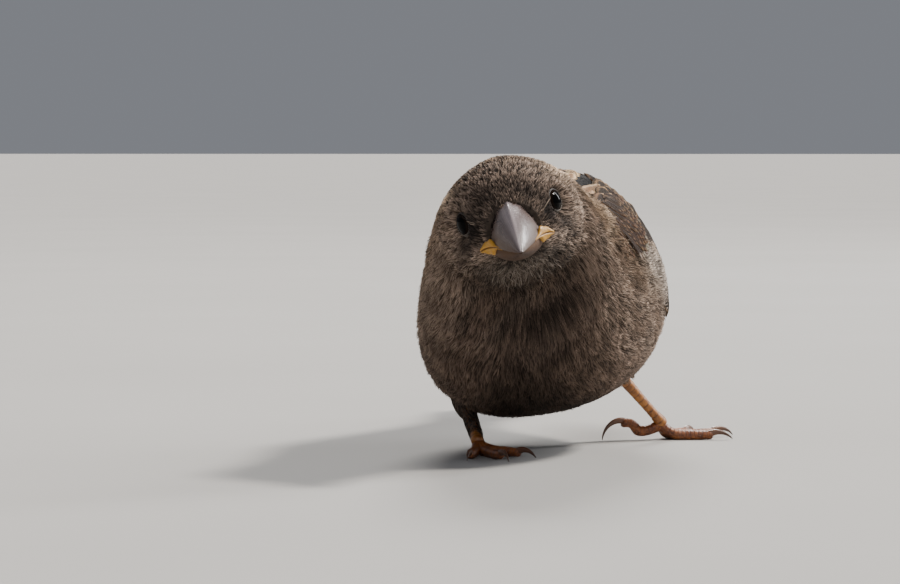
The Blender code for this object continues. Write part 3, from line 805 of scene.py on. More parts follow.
def ruler(form, u, v):
    """Millimetres to one step of u and to one degree of v, and the outward way, at each place."""
    here = form(u, v)
    by_u, by_v = (form(u + 0.02, v) - here) / 0.02, form(u, v + 1.0) - here
    return np.linalg.norm(by_u, axis=-1), np.linalg.norm(by_v, axis=-1), unit(np.cross(by_v, by_u))


def barb_length(u, v):
    """Longer back along the body; on the head longer below than above, longest on the chin."""
    length = np.interp(u, [0.0, 1.5, 3.5, 5.5, 7.0, 9.0, 13.0], [0.9, 1.2, 1.6, 2.4, 3.3, 4.2, 4.4])
    return length * (1 + 1.3 * np.clip((np.abs(signed(v)) - 115) / 35, 0, 1) * np.clip((4.8 - u) / 3, 0, 1))


def fluff(u, v):
    """How far the coat stands over the form: it fills the crease behind the jaw and laps over the
    front and the lower edge of the folded wing."""
    side = np.abs(signed(v))
    crease = 0.9 * swell(u, 5.55, 0.75) * np.clip((side - 60) / 60, 0, 1)
    front = 0.5 * swell(u, 6.35, 0.3) * swell(side, 56, 18)
    return crease + front + 1.35 * swell(u, 8.15, 0.8) * swell(side, 75, 16)


def given(value, u, v):
    """A number or colour that is the same everywhere, or a function's at each place."""
    return value(u, v) if callable(value) else np.asarray(value)


def barbs(
    name, spacing, u_span, v_span, strands, width, seed, lift=0.5, fan=16.0, lock=0.9, contrast=1.0,
    lie=0.0, form=flesh, colour=markings, length=barb_length, patch_at=None, turn=0.25, skip=None,
):
    """Tufts of three-sided barbs, one tuft to each spacing squared of area. Strand k of a tuft
    leaves at its angle in the fan and turns back in by the lock's share; its middle line steps
    along u by length cos h and along v by length sin h, measured on the skin, and climbs from the
    skin to the coat's surface as sin(pi t / 2)."""
    chance = np.random.default_rng(seed)
    smooth_form = body if form is flesh else form
    u, v = spread(smooth_form, spacing, u_span, v_span)
    polar = [eye_polar(form(u, v), sign) for sign in SIDES.values()]
    keep = ~np.any([(along > 0) & (away < LID_RADIUS + 0.10) for along, away in polar], axis=0)
    if skip is not None:
        keep &= ~skip(u, v)
    u, v = u[keep], v[keep]
    count = len(u)
    unit_u, unit_v, here = ruler(smooth_form, u, v)
    heading = turn * ripple(u, v, 3.0, seed + 1) + chance.normal(0.0, 0.12, count) + given(lie, u, v)
    length = given(length, u, v) * chance.uniform(0.75, 1.25, count)
    # near an eye a tuft turns away from the eye's middle and shortens
    for sign, (along, away) in zip(SIDES.values(), polar):
        along, away = along[keep], away[keep]
        step_u = eye_polar(form(u + 0.05, v), sign)[1] - away
        step_v = eye_polar(form(u, v + 1.0), sign)[1] - away
        near = np.where(along > 0, swell(away, LID_RADIUS, 1.1), 0.0)
        outward = np.arctan2(step_v / unit_v, step_u / (0.05 * unit_u))
        heading = heading + near * ((outward - heading + np.pi) % (2 * np.pi) - np.pi) * 0.8
        length = length * (1 - 0.5 * near)
    share = np.linspace(-1, 1, strands)
    angle = heading[:, None] + np.radians(fan) * share + chance.normal(0.0, 0.07, (count, strands))
    reach = length[:, None] * (1 - 0.22 * share**2) * chance.uniform(0.75, 1.15, (count, strands))
    start = chance.normal(0.0, 0.14 * spacing, (2, count, strands, 1))
    curl = chance.normal(0.0, 0.12, (count, strands)) - np.radians(fan) * share * lock
    t = BARB_STEPS
    h = angle[..., None] + curl[..., None] * t
    line_u = u[:, None, None] + (reach[..., None] * t * np.cos(h) + start[0]) / unit_u[:, None, None]
    line_v = v[:, None, None] + (reach[..., None] * t * np.sin(h) + start[1]) / unit_v[:, None, None]
    under = depth(u)[:, None, None] if form is flesh else 0.7
    top = lift * chance.uniform(-0.2, 1.0, (count, 1)) + 0.25 * lift * chance.normal(0, 1, (count, strands))
    top = (top + (fluff(u, v)[:, None] if form is flesh else 0.0))[..., None]
    line = form(line_u, line_v, -under - 0.1 * (t == 0) + (under + top - 0.1) * np.sin(np.pi / 2 * t))
    forward = unit(line[..., 2, :] - line[..., 0, :])
    aside = unit(np.cross(forward, here[:, None]))
    above = np.cross(aside, forward)
    half = (width / 2 * chance.uniform(0.7, 1.3, (count, strands)))[..., None]
    rings = [
        line[..., k, :] + narrow * half * (x * aside + z * above)
        for k, narrow in ((0, 0.7), (1, 1.0), (2, 0.75)) for x, z in ((-1.0, -0.3), (1.0, -0.3), (0.0, 0.7))
    ]
    points = np.stack([*rings, line[..., 3, :]], axis=2)
    base = np.arange(count * strands)[:, None, None] * 10
    ends = np.array([[6, 7, 9], [7, 8, 9], [8, 6, 9], [2, 1, 0]])
    faces = [(base + squares(3, 3)[0]).reshape(-1, 4), (base + ends).reshape(-1, 3)]
    # dark roots and pale ends; in every tuft some strands are dark all along
    tone = chance.uniform(1 - 0.30 * contrast, 1 + 0.30 * contrast, (count, 1))
    dark = chance.random((count, strands)) < DARK_SHARE
    tone = tone * np.where(dark, 1 - 0.62 * contrast, 1 + 0.28 * contrast)
    tone = tone * chance.uniform(0.85, 1.15, (count, strands))
    step = np.array([0, 0, 0, 1, 1, 1, 2, 2, 2, 3])
    tone = tone[..., None] * BARB_TONES[step] ** contrast
    shades = given(colour, line_u[..., step], line_v[..., step]) * tone[..., None]
    # on the baking map a tuft is a small patch at its root's place, and a strand a strip of it
    patch = np.stack([u / 16.0, (v % 360.0) / 360.0], -1)[:, None, None]
    patch = patch if patch_at is None else patch * [1.6, 0.1] + patch_at
    x = (np.arange(strands)[:, None] + np.array([0.1, 0.9, 0.5] * 3 + [0.5])) / strands - 0.5
    y = np.array([0.0, 0.03, 0.06, 0.35, 0.32, 0.38, 0.70, 0.67, 0.73, 1.0]) - 0.5
    bake_map = 0.004 + 0.992 * patch + np.stack(np.broadcast_arrays(x, y), -1) * PATCH
    piece(name, points.reshape(-1, 3), faces, plumage, {"OFBake": bake_map.reshape(-1, 2)},
          shades.reshape(-1, 3), smooth=False)


def round_bill(u, v):
    """On the throat and face the tufts turn with the curve of the cheek."""
    return -0.35 * np.sign(signed(v)) * swell(u, 1.0, 1.5) * swell(np.abs(signed(v)), 90, 40)


def round_wing(u, v):
    """Below the folded wing the tufts turn down beside its edge."""
    return 0.4 * np.sign(v) * swell(u, 8.3, 0.7) * swell(np.abs(signed(v)), 66, 14)


HEAD, NECK, TRUNK = (2.1, 5.7), (5.5, 7.6), (7.4, 11.2)  # spans of u
CHIN_TUFTS = {"fan": 26.0, "lock": 0.4, "length": 3.5, "colour": (0.160, 0.133, 0.110)}
# spacing, spans of u and of v, strands, width, how high they stand, contrast, and what is its own
COAT = {
    "face": (0.44, (-0.05, 2.2), (0.0, 360.0), 5, 0.12, 0.3, 1.1, {"lie": round_bill}),
    "crown": (0.54, HEAD, (-62.0, 62.0), 5, 0.14, 0.15, 1.25, {}),
    "cheek_left": (0.54, HEAD, (60.0, 122.0), 5, 0.14, 0.3, 0.95, {}),
    "cheek_right": (0.54, HEAD, (-122.0, -60.0), 5, 0.14, 0.2, 0.95, {}),
    "throat": (0.62, (1.7, 5.7), (120.0, 240.0), 6, 0.14, 0.45, 1.1, {"fan": 20.0}),
    "nape": (0.86, (5.5, 7.2), (-75.0, 75.0), 7, 0.17, 0.6, 1.0, {"skip": on_wing}),
    "neck_left": (0.74, NECK, (70.0, 130.0), 7, 0.15, 0.45, 1.0, {"skip": on_wing}),
    "neck_right": (0.74, NECK, (-130.0, -70.0), 7, 0.15, 0.45, 0.8, {"skip": on_wing}),
    "breast": (0.80, NECK, (126.0, 234.0), 8, 0.14, 0.3, 1.0, {}),
    "belly": (1.06, (7.4, 10.4), (126.0, 234.0), 8, 0.18, 0.15, 0.7, {}),
    "flank_left": (0.94, TRUNK, (60.0, 130.0), 8, 0.17, 0.3, 0.7, {"skip": on_wing, "lie": round_wing}),
    "flank_right": (0.94, TRUNK, (-130.0, -60.0), 8, 0.17, 0.1, 0.7, {"skip": on_wing, "lie": round_wing}),
    "vent": (1.12, (10.2, 13.0), (95.0, 265.0), 7, 0.22, 0.3, 0.7, {}),
    "rump": (1.05, (9.9, 12.9), (-96.0, 96.0), 7, 0.22, 0.2, 0.8, {"skip": on_wing}),
    "chin": (0.95, (0.3, 3.5), (154.0, 206.0), 4, 0.15, 0.9, 0.9, CHIN_TUFTS),
}
for seed, (part, (*plan, lift, contrast, own)) in enumerate(COAT.items(), 11):
    barbs(f"coat_{part}", *plan, seed, lift=lift, contrast=contrast, **own)

# stiff bristles stand round the corners of the mouth and in front of the eyes
BRISTLES = (("pale", (0.34, 0.27, 0.21), 82.0, 34), ("dark", (0.03, 0.024, 0.02), 104.0, 39))
for n, (side, sign) in enumerate(SIDES.items()):
    for kind, tone, low, seed in BRISTLES:
        barbs(f"bristles_{kind}_{side}", 1.2, (0.2, 1.5), (60.0 * sign, low * sign), 2, 0.10, seed + n,
              lift=0.9, contrast=0.3, lie=-0.5 * sign, length=1.9, colour=tone)


def thigh_colour(u, v):
    """Grey-brown, darker down the leg."""
    # it starts from the flank colour, which carries painted light
    return mixed(u, np.array(FLANK_PAINTED_LIGHT) * 0.75, np.array(CROWN) * 0.6)


def shank_form(side):
    """A bare shank from the ankle to the ball of the foot, a little thinner below."""
    ankle, ball = (np.array(LEGS[side][key]) for key in ("ankle", "ball"))
    return limb_form(lambda t: ankle + (ball - ankle) * t, lambda t: 1.55 - 0.35 * t)


def bill_form(u, v, out=0.0):
    """The upper half's surface: u is the share from root to tip, v the angle across its arch."""
    u, v, out = np.broadcast_arrays(u, v, out)
    t = np.radians(v)
    width, outer, edge = bill_outline(np.clip(u, 0.0, 1.0), BILL_TOP, 1.0)
    forward = BILL_START + (UPPER_TIP - BILL_START) * u
    level = edge + (outer - edge + out) * np.abs(np.cos(t)) ** 1.2
    return in_head(np.stack([(width + out) * np.sin(t), forward, level], -1))


barbs("coat_nostril", 0.36, (-0.10, 0.03), (-84.0, 84.0), 5, 0.11, 30, lift=0.25, turn=0.3, form=bill_form,
      colour=lambda u, v: mixed(swell(v, 0, 22), LORES, np.array(CROWN) * 1.5),
      length=lambda u, v: 0.7 + 1.2 * swell(np.abs(v), 52, 24), patch_at=np.array([0.92, 0.05]))
for n, (side, reach) in enumerate((("left", 0.80), ("right", 1.0))):
    barbs(f"coat_thigh_{side}", 0.8, (0.42, reach), (0.0, 360.0), 6, 0.18, 40 + n, lift=0.05, turn=0.1,
          form=thigh_form(side), colour=thigh_colour, length=lambda u, v: 3.2 - 1.2 * u,
          patch_at=np.array([0.83, 0.2 + 0.4 * n]))
barbs("coat_shank_right", 0.62, (0.0, 0.82), (0.0, 360.0), 6, 0.16, 44, lift=0.1, turn=0.1,
      form=shank_form("right"), colour=thigh_colour, length=2.4, patch_at=np.array([0.90, 0.8]))


# --- vaned feathers of back, wings and tail -----------------------------------------------------
# Each is one stiff leaf of webbed barbs on a shaft, dark in the middle with a buff or rufous
# fringe. They overlap like tiles, each row laid over the roots of the row behind it.

VANE_ALONG, VANE_ACROSS, VANE_THICKNESS = 8, 5, 0.09
BLACKISH = (0.026, 0.018, 0.014)
# dark middle, fringe, tip, the fringe's and the tip's share, and whether the dark narrows to the tip
VANES = {
    "flight": ((0.050, 0.036, 0.027), (0.24, 0.15, 0.085), (0.20, 0.14, 0.09), 0.34, 0.05, 0.0),
    "tertial": (BLACKISH, (0.30, 0.175, 0.09), (0.34, 0.24, 0.15), 0.42, 0.10, 0.0),
    "great_covert": (BLACKISH, (0.25, 0.145, 0.078), (0.30, 0.20, 0.125), 0.42, 0.09, 0.0),
    "wing_bar": (BLACKISH, (0.12, 0.075, 0.05), (0.25, 0.205, 0.165), 0.3, 0.22, 0.0),
    "small_covert": ((0.030, 0.018, 0.013), (0.125, 0.074, 0.046), (0.150, 0.094, 0.060), 0.55, 0.20, 0.0),
    "mantle": (BLACKISH, (0.26, 0.155, 0.085), (0.30, 0.19, 0.11), 0.55, 0.16, 1.0),
    "buff_mantle": ((0.22, 0.13, 0.07), (0.62, 0.44, 0.275), (0.64, 0.47, 0.30), 0.86, 0.12, 1.0),
    "black_mantle": ((0.005, 0.004, 0.005), (0.012, 0.009, 0.009), (0.02, 0.015, 0.013), 0.25, 0.10, 0.0),
    "under_covert": ((0.20, 0.16, 0.125), (0.40, 0.34, 0.27), (0.42, 0.36, 0.29), 0.6, 0.3, 0.0),
}


def vane_finish(wire, dark, fringe, tip, fringe_width, tip_width, narrows):
    """Oblique barbs out from the shaft, a fringe along both edges, and a pale end."""
    x, y = wire.map("vane")
    side = (x - 0.5).maths("ABSOLUTE") * 2.0
    cloud = wire.place().noise(700.0, 3.0)
    barb = wire.fibres((y - side * 0.22) * 90.0, x * 3.0, 1.0, 2.0)
    fray = cloud * 0.16 + barb * 0.10 - 0.13
    edge = (side + fray - (1 - y) * (0.1 * narrows)).rises(1 - fringe_width, 1 - fringe_width * 0.35)
    end = (y + fray * 0.6).rises(1 - tip_width, 1 - tip_width * 0.5)
    colour = end.blend(edge.blend(dark, fringe), tip)
    colour = (1 - side.rises(0.03, 0.07)).blend(colour, tuple(0.7 * part for part in dark))
    colour = colour.times(0.55 + 0.9 * barb).times(wire.shade())
    return {"Base Color": colour, "Roughness": 0.7 + 0.25 * cloud, "Bump": (barb, 0.00012)}


FEATHERS = {
    kind: finish(kind, vane_finish, *tones, Specular_IOR_Level=0.07) for kind, tones in VANES.items()
}


def leaf_section(across):
    """A leaf's section, from one edge over the top and back below: places across it from -1 to 1,
    and 1 for those below."""
    c = np.linspace(-1.0, 1.0, across)
    return np.concatenate([c, c[-2:0:-1]]), np.concatenate([np.zeros(across), np.ones(across - 2)])


def vanes(
    name, kind, seed, start, end, half, out, rise=0.3, camber=0.10, sign=1.0, tip_power=3.0, replaces=()
):
    """Leaves from start to end, each given as u and v. At a share a of the length the
    half-width is half (1 - e^(-9a)) (1 - 0.985 a^p)^0.6, arched across as 1 - c^2, and the leaf rises
    towards its end."""
    chance = np.random.default_rng(seed)
    start, end = (np.stack(np.broadcast_arrays(*pair), -1).astype(float) for pair in (start, end))
    count = len(start)
    half, out = (np.broadcast_to(value, count).astype(float) for value in (half, out))
    a = 1 - (1 - np.linspace(0.0, 1.0, VANE_ALONG)) ** 1.3
    c, under = leaf_section(VANE_ACROSS)
    line = start[:, None] + (end - start)[:, None] * a[:, None]
    unit_u, unit_v, _ = ruler(body, line[..., 0], line[..., 1])
    way = unit((end - start)[:, None] * np.stack([unit_u, unit_v], -1))
    width = half[:, None] * (1 - np.exp(-9 * a)) * (1 - 0.985 * a**tip_power) ** 0.6
    width = width * chance.uniform(0.92, 1.08, (count, 1))
    arch = (1 - c**2) * np.minimum(4 * a[:, None], 1)
    high = out[:, None, None] + rise * a[:, None] + camber * half[:, None, None] * arch
    high = high - VANE_THICKNESS * under * arch + chance.normal(0.0, 0.03, (count, 1, 1))
    v = line[..., 1, None] + c * (width * way[..., 0] / unit_v)[..., None]
    u = line[..., 0, None] - c * (width * way[..., 1] / unit_u)[..., None]
    ring = len(c)
    rung = np.arange(ring // 2 - 1)
    cap = np.stack([rung, rung + 1, ring - 2 - rung, ring - 1 - rung], -1)
    leaf = np.concatenate([squares(VANE_ALONG, ring)[0], cap[:, ::-1], cap + (VANE_ALONG - 1) * ring])
    faces = (np.arange(count)[:, None, None] * VANE_ALONG * ring + leaf).reshape(-1, 4)
    vane_map = np.stack(np.broadcast_arrays((c + 1) / 2, a[:, None]), -1)
    vane_map = np.broadcast_to(vane_map, (count, *vane_map.shape))
    cells = int(np.ceil(np.sqrt(count)))
    corner = np.stack([np.arange(count) % cells, np.arange(count) // cells], -1)[:, None, None]
    lower_side = np.array([0.0, 0.006]) * under[:, None]
    bake_map = (corner + 0.05 + 0.9 * (vane_map * 0.98 + lower_side)) / cells
    tone = chance.uniform(0.8, 1.2, (count, 1)) * chance.uniform(0.95, 1.05, (count, 3))
    shades = np.broadcast_to(tone[:, None, None], (*v.shape, 3))
    maps = {"OFBake": bake_map.reshape(-1, 2), "vane": vane_map.reshape(-1, 2)}
    piece(name, body(u, sign * v, high).reshape(-1, 3), [faces], FEATHERS[kind], maps,
          shades.reshape(-1, 3), replaces)


# the back, in columns down each side: two of streaked brown, two of the pale buff brace, one of
# black and one of buff beside the shoulder feathers
chance = np.random.default_rng(60)
COLUMNS = (
    (0.0, "mantle"), (6.5, "mantle"), (13.0, "mantle"), (19.5, "buff_mantle"), (27.0, "black_mantle"),
    (34.0, "buff_mantle"), (40.0, "buff_mantle"),
)
for column, (across, kind) in enumerate(COLUMNS):
    for side, sign in SIDES.items() if across else (("left", 1.0),):
        u = np.arange(6.25, 10.3, 0.22) + 0.11 * (column % 2)
        u = u[(u > 6.25 + across * 0.023) & (u < (10.2 if across < 35 else 8.8) - across * 0.03)]
        v = across + chance.normal(0, 0.8, len(u))
        pale = kind == "buff_mantle"
        level = -0.30 + (0.25 * pale + 0.02 * across) * np.clip((u - 6.6) / 1.2, 0, 1)
        vanes(f"back_{column}_{side}", kind, 61 + column, (u, v), (u + 0.64, v * 0.97), 1.9 - 0.5 * pale,
              level, rise=0.45, sign=sign)


def lined_up(count, u, share, at=None):
    """Places in a line on the wing: u and the share of its height run evenly between two values."""
    u, share = np.linspace(*u, count), np.linspace(*share, count)
    return u, wing_v(u if at is None else at, share)


def step_along(u, v, length, heading):
    """The place a length away from a root, on a heading from along the body to round it."""
    unit_u, unit_v, _ = ruler(body, u, v)
    heading = np.radians(heading)
    return u + length * np.cos(heading) / unit_u, v + length * np.sin(heading) / unit_v


def rows(u_places, w_span, counts, seed, jitter=0.03):
    """Staggered rows of roots across the wing, with a little disorder."""
    chance = np.random.default_rng(seed)
    u = np.repeat(u_places[:len(counts)], counts)
    w = np.concatenate([(np.arange(n) + 0.25 + 0.5 * (k % 2)) / n for k, n in enumerate(counts)])
    w = w * (w_span[1] - w_span[0]) + w_span[0]
    return u + chance.normal(0, jitter, len(u)), w + chance.normal(0, jitter * 0.2, len(u))


for n, (side, sign) in enumerate(SIDES.items()):
    seed = 70 + 20 * n
    tuck = 0.0 if side == "left" else 0.9  # the right wing is pressed closer
    # folded primaries, stacked along the wing's lower edge, then secondaries, tertials and coverts
    vanes(f"primaries_folded_{side}", "flight", seed, lined_up(9, (9.7, 10.2), (0.93, 0.83)),
          (np.linspace(14.45, 12.7, 9), np.linspace(38.0, 60.0, 9)), 2.4, np.linspace(0.25, 0.6, 9) - tuck,
          rise=0.8, camber=0.05, sign=sign, tip_power=4.0, replaces=(f"primaries_{side}",))
    vanes(f"secondaries_{side}", "flight", seed + 1, lined_up(6, (9.5, 9.5), (0.86, 0.48)),
          lined_up(6, (12.2, 12.65), (0.90, 0.55), 12.4), 3.0, np.linspace(0.4, 0.65, 6),
          rise=0.5, camber=0.06, sign=sign, tip_power=5.0, replaces=(f"wing_{side}",))
    vanes(f"tertials_{side}", "tertial", seed + 2, lined_up(3, (9.3, 9.3), (0.46, 0.22)),
          lined_up(3, (12.1, 11.35), (0.48, 0.34), 12.0), 4.2, np.linspace(0.75, 1.0, 3),
          rise=0.4, sign=sign, tip_power=4.0)
    vanes(f"primary_coverts_{side}", "flight", seed + 3, lined_up(8, (8.6, 8.8), (0.98, 0.88), 8.8),
          lined_up(8, (10.5, 10.3), (0.97, 0.89), 10.5), 1.6, np.linspace(0.1, 0.4, 8) - tuck,
          camber=0.05, sign=sign)
    vanes(f"greater_coverts_{side}", "great_covert", seed + 4,
          lined_up(10, (8.05, 8.35), (0.93, 0.11), 8.4), lined_up(10, (10.0, 10.1), (0.93, 0.19), 10.0),
          2.8, np.linspace(0.5, 0.75, 10) - tuck, rise=0.5, camber=0.07, sign=sign)
    # the wing bar bends: its feathers point down at the shoulder's lower edge, and back higher up
    k = 0.16 + 0.84 * (np.arange(18) + 0.5) / 18
    u = np.interp(k, (0.0, 0.3, 0.55, 0.75, 1.0), (6.25, 7.2, 7.85, 8.15, 8.3))
    v = np.interp(k, (0.0, 0.3, 0.55, 0.75, 1.0), (68.0, 60.0, 52.0, 44.0, 34.0))
    heading = np.interp(k, (0.0, 0.45, 0.75, 1.0), (66.0, 52.0, 26.0, 8.0))
    vanes(f"median_coverts_{side}", "wing_bar", seed + 5, (u, v), step_along(u, v, 5.4, heading),
          1.9, 0.45 - tuck, rise=0.55, camber=0.07, sign=sign)
    # small coverts in rows inside the bar, turning with it
    u, w = rows(np.arange(6.22, 8.3, 0.15), (0.0, 1.0), (4, 5, 6, 7, 8, 8, 8, 8, 8, 8, 7, 7, 7, 6), seed + 6)
    high = at_edge(u, UPPER_EDGE) - 2
    low = np.maximum(np.interp(u, (6.2, 7.2, 7.9, 8.3), (72.0, 62.0, 54.0, 30.0)), high + 4)
    v = high + (low - high) * w
    down = np.clip((v - 22) / 40, 0, 1) * np.clip((8.6 - u) / 1.2, 0, 1)
    vanes(f"lesser_coverts_{side}", "small_covert", seed + 6, (u, v), step_along(u, v, 4.2, 8 + 52 * down),
          1.7, -0.5 - tuck + 1.25 * np.clip(u - 6.3, 0, 1), rise=0.5, sign=sign)
    u, w = rows(np.arange(6.95, 9.2, 0.25), (-0.08, 0.24), (3, 4, 4, 4, 5, 5, 5, 5, 4), seed + 7)
    vanes(f"scapulars_{side}", "mantle", seed + 7, (u, wing_v(u, w) + 1), (u + 0.8, wing_v(u + 0.8, w) + 1),
          2.2, 0.6 * np.clip(u - 6.6, 0, 1), rise=0.6, camber=0.08, sign=sign)

# twelve flat tail feathers, the middle pair on top, under their coverts. One lies across the tail
# by its place times 0.35 + 1.28 a, at a share a of its length, and lower the further out it is
TAIL_ROOT, TAIL_ALONG, TAIL_ACROSS = 12.6, 16, 7
chance = np.random.default_rng(110)
place = (np.arange(12) - 5.5)[:, None]
a = np.linspace(0.0, 1.0, TAIL_ALONG)
c, under = leaf_section(TAIL_ACROSS)
width = 2.6 * (0.55 + 0.45 * a) * (1 - np.exp(-9 * a)) * (1 - 0.985 * a**9) ** 0.6
x = (place * (0.35 + 1.28 * a))[..., None] + c * width[:, None]
z = (0.75 - 0.16 * np.abs(place))[..., None] + (0.16 - 0.10 * under) * (1 - c**2) + 0 * x
u = TAIL_ROOT + (16.0 - 0.05 * np.abs(np.abs(place) - 3.0) - TAIL_ROOT) * a
leaves = [loft(rings) for rings in set_out(between(RINGS, u[..., None] + 0 * x), x, z)]
leaf_size = len(leaves[0][0])
vane_map = np.stack(np.broadcast_arrays((c + 1) / 2, a[:, None]), -1).reshape(-1, 2)
vane_map = np.concatenate([vane_map, [[0.5, 0.0], [0.5, 1.0]]])
bake_map = [vane_map * [0.9 / 4, 0.9 / 3] + [(n % 4) / 4 + 0.01, (n // 4) / 3 + 0.01] for n in range(12)]
tone = np.repeat(chance.uniform(0.85, 1.15, (12, 1)), 3, axis=1)
maps = {"OFBake": np.concatenate(bake_map), "vane": np.tile(vane_map, (12, 1))}
points = np.concatenate([leaf[0] for leaf in leaves])
faces = [group + n * leaf_size for n, leaf in enumerate(leaves) for group in leaf[1]]
piece("tail_feathers", points, faces, FEATHERS["flight"], maps, np.repeat(tone, leaf_size, axis=0),
      ("tail",))
u, v = (g.ravel() for g in np.meshgrid(np.arange(11.6, 13.1, 0.26), np.linspace(-84, 84, 13)))
u = u + 0.3 - 0.3 * np.abs(v / 60) ** 1.5
vanes("tail_coverts_upper", "small_covert", 111, (u, v), (u + 0.95, v * 0.85), 2.3, 0.0, rise=0.35)
vanes("tail_coverts_lower", "under_covert", 112, (u, v + 180), (u + 0.95, v * 0.85 + 180), 2.3, 0.0)


# --- legs and feet ------------------------------------------------------------------------------
# Dried legs wired from inside: a bare shank with broad overlapping scales in front, toes with
# scales above and swollen pads below, and horn claws.

ANKLE_RADIUS, SHANK_RADIUS = 1.25, 0.9
PALM = 4.1
# turn from the middle toe, length, the claw's length and the number of joints
TOES = {
    "hind": (None, 7.0, 5.0, 2),
    "inner": (-30.0, 9.4, 4.0, 3),
    "middle": (0.0, 12.2, 4.4, 4),
    "outer": (26.0, 10.0, 4.0, 5),
}
TOE_RADIUS, TOE_TIP_RADIUS, CLAW_RADIUS, CLAW_POINT = 0.9, 0.68, 0.6, 0.14
CLAW_BENDS, ARCHED_CLAW_BENDS, CLAW_OVER = (18.0, -48.0), (20.0, -85.0), 0.3
ARCH_SPAN, SOLE = (0.15, 0.85), 0.14
SHANK_SCALES, TOE_SCALES = 9.0, 1.35  # to the shank, and to a millimetre of toe
SHANK_ROWS, SHANK_COLUMNS = 90, 32
TOE_ROWS, TOE_COLUMNS = 80, 24
CLAW_ROWS, CLAW_COLUMNS = 30, 16


def leg_finish(wire, dark, pale):
    """Red-brown scaly skin: dark creases between scales and paler worn scale tops."""
    x, y = wire.map("scale")
    feature, scale = {"feature": "DISTANCE_TO_EDGE"}, 2100.0
    cells = wire.node("TexVoronoi", feature, {"Vector": wire.place(), "Scale": scale})
    step = y.maths("FRACT")
    band = step.rises(0.0, 0.16) * (1 - step.rises(0.86, 1.0))
    front = (x * 6.2832).maths("COSINE").rises(-0.1, 0.35)
    groove = front * (1 - band) + (1 - front) * (1 - cells.rises(0.02, 0.14))
    cloud = wire.place().noise(900.0, 4.0)
    tone = (groove * 0.55).blend(cloud.rises(0.3, 0.7).blend(dark, pale), (0.065, 0.025, 0.015))
    return {"Base Color": tone, "Roughness": 0.36 + 0.3 * cloud, "Bump": (1 - groove + cloud * 0.4, 0.00010)}


def claw_finish(wire):
    """Dark horn, browner at the root, with fibres along it."""
    around, along = wire.map("scale")
    fibre = wire.fibres(around * 22.0, along * 1.5, 1.2, 3.0)
    tone = along.blend((0.17, 0.070, 0.034), (0.055, 0.030, 0.020))
    tone = (fibre.rises(0.5, 0.8) * 0.4).blend(tone, (0.20, 0.10, 0.055))
    return {"Base Color": tone, "Bump": (fibre, 0.00005)}


SHANK_TONES = ((0.21, 0.070, 0.012), (0.42, 0.165, 0.030))
TOE_TONES = ((0.150, 0.040, 0.010), (0.33, 0.105, 0.022))
shank_skin, toe_skin = (
    finish(f"{part}_skin", leg_finish, *tones, Coat_Weight=0.15, Coat_Roughness=0.35)
    for part, tones in (("shank", SHANK_TONES), ("toe", TOE_TONES))
)
claw_horn = finish("claw_horn", claw_finish, Roughness=0.42, Coat_Weight=0.1)


def limb(name, rings, material, scales, replaced):
    """A closed tube through rings, kept above the floor, its map counting scales along it."""
    count, around = rings.shape[:2]
    points, faces, places = loft(np.concatenate([rings[..., :2], np.maximum(rings[..., 2:], 0.0)], -1))
    scale_map = places[:, ::-1] / [around, count] * [1.0, scales]
    piece(name, points, faces, material, {"scale": scale_map}, replaces=(replaced,))


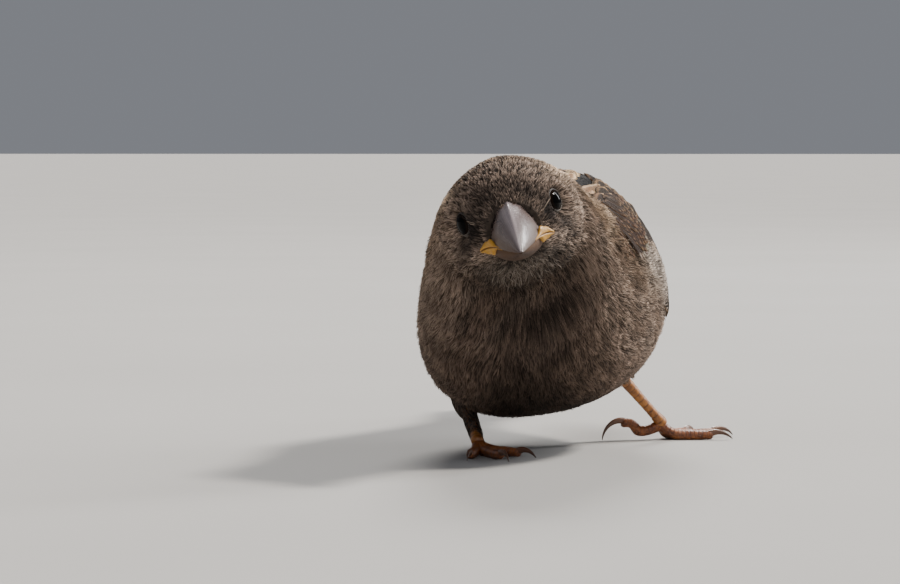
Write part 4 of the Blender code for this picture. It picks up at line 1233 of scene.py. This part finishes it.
for side, sign in SIDES.items():
    plan = LEGS[side]
    ankle, ball = np.array(plan["ankle"]), np.array(plan["ball"])
    s = np.linspace(-0.15, 1.06, SHANK_ROWS)[:, None]
    radius = SHANK_RADIUS + (ANKLE_RADIUS - SHANK_RADIUS) * (1 - np.clip(s, 0, 1)) ** 3
    radius = radius + 0.25 * swell(s, 1.0, 0.10)
    around = turns(SHANK_COLUMNS)
    ridge = 0.05 * (1 - (s * SHANK_SCALES) % 1.0) * (np.cos(around) > 0)
    radius = radius * (1 + 0.10 * np.cos(2 * around) + ridge)
    rings = round_path(ankle + (ball - ankle) * s, radius, SHANK_COLUMNS, (0.0, -1.0, 0.0))
    limb(f"shank_{side}", rings, shank_skin, SHANK_SCALES * np.ptp(s), f"tarsus_{side}")
    hind_turn, arch = plan["hind"]
    for toe, (turn, length, claw_length, joints) in TOES.items():
        hind = toe == "hind"
        heading = np.radians(plan["heading"] + sign * (hind_turn if hind else turn))
        ahead = np.array([np.cos(heading), np.sin(heading), 0.0])
        steep, bend = np.radians(ARCHED_CLAW_BENDS if hind and arch else CLAW_BENDS)
        claw_turn = claw_length / (steep - bend)
        claw_start = claw_turn * (np.cos(steep) - np.cos(bend)) + CLAW_POINT
        rest, lift = TOE_RADIUS - SOLE, arch if hind else 0.0
        # the toe grows out of the ball of the foot, and swells under each of its joints
        s = np.linspace(-PALM / (length - PALM), 1.0, TOE_ROWS)[:, None]
        reach = PALM + (length - PALM) * s
        root = np.clip(-s * (length - PALM) / PALM, 0.0, 1.0)
        grown = np.clip(s, 0.0, 1.0)
        arched = lift * np.sin(np.pi * (ARCH_SPAN[0] + (ARCH_SPAN[1] - ARCH_SPAN[0]) * grown)) * (1 - root)
        height = rest + (claw_start - CLAW_OVER - rest) * grown**4 + arched
        height = height + (ball[2] - rest) * root**2 * 0.75
        path = ball * [1, 1, 0] + reach * ahead + height * [0, 0, 1]
        pads = np.cos(np.pi * joints * (s - s[0]) / (1 - s[0])) ** 2
        above = np.cos(turns(TOE_COLUMNS))
        radii = TOE_RADIUS + (TOE_TIP_RADIUS - TOE_RADIUS) * grown**2 + 0.05 * root
        radii = radii * (0.94 + 0.10 * pads * (0.3 + np.clip(-above, 0, 1)))
        radii = radii + 0.05 * (1 - (reach * TOE_SCALES) % 1.0) * np.clip(above, 0, 1)
        radii[-4:] *= np.array([0.97, 0.9, 0.75, 0.4])[:, None]
        limb(f"digit_{side}_{toe}", round_path(path, radii, TOE_COLUMNS), toe_skin,
             length * TOE_SCALES, f"toe_{side}_{toe}")
        # the claw's middle line is an arc that bends down from the toe's end
        slope = np.linspace(steep + 0.12, bend, CLAW_ROWS)[:, None]
        out = length - 0.2 + claw_turn * (np.sin(steep) - np.sin(slope))
        height = claw_start - claw_turn * (np.cos(steep) - np.cos(slope))
        height = height + lift * np.sin(ARCH_SPAN[0] * np.pi) * (slope - bend) / (steep - bend)
        path = ball * [1, 1, 0] + out * ahead + height * [0, 0, 1]
        tip_radius, around = CLAW_POINT * 0.5, turns(CLAW_COLUMNS)
        thins = 1 - np.linspace(0, 1, CLAW_ROWS)[:, None] ** 1.3
        radii = tip_radius + (CLAW_RADIUS - tip_radius) * thins
        radii = radii * (1 - 0.22 * np.sin(around) ** 2 + 0.08 * np.cos(around))
        limb(f"nail_{side}_{toe}", round_path(path, radii, CLAW_COLUMNS), claw_horn, 1.0,
             f"claw_{side}_{toe}")
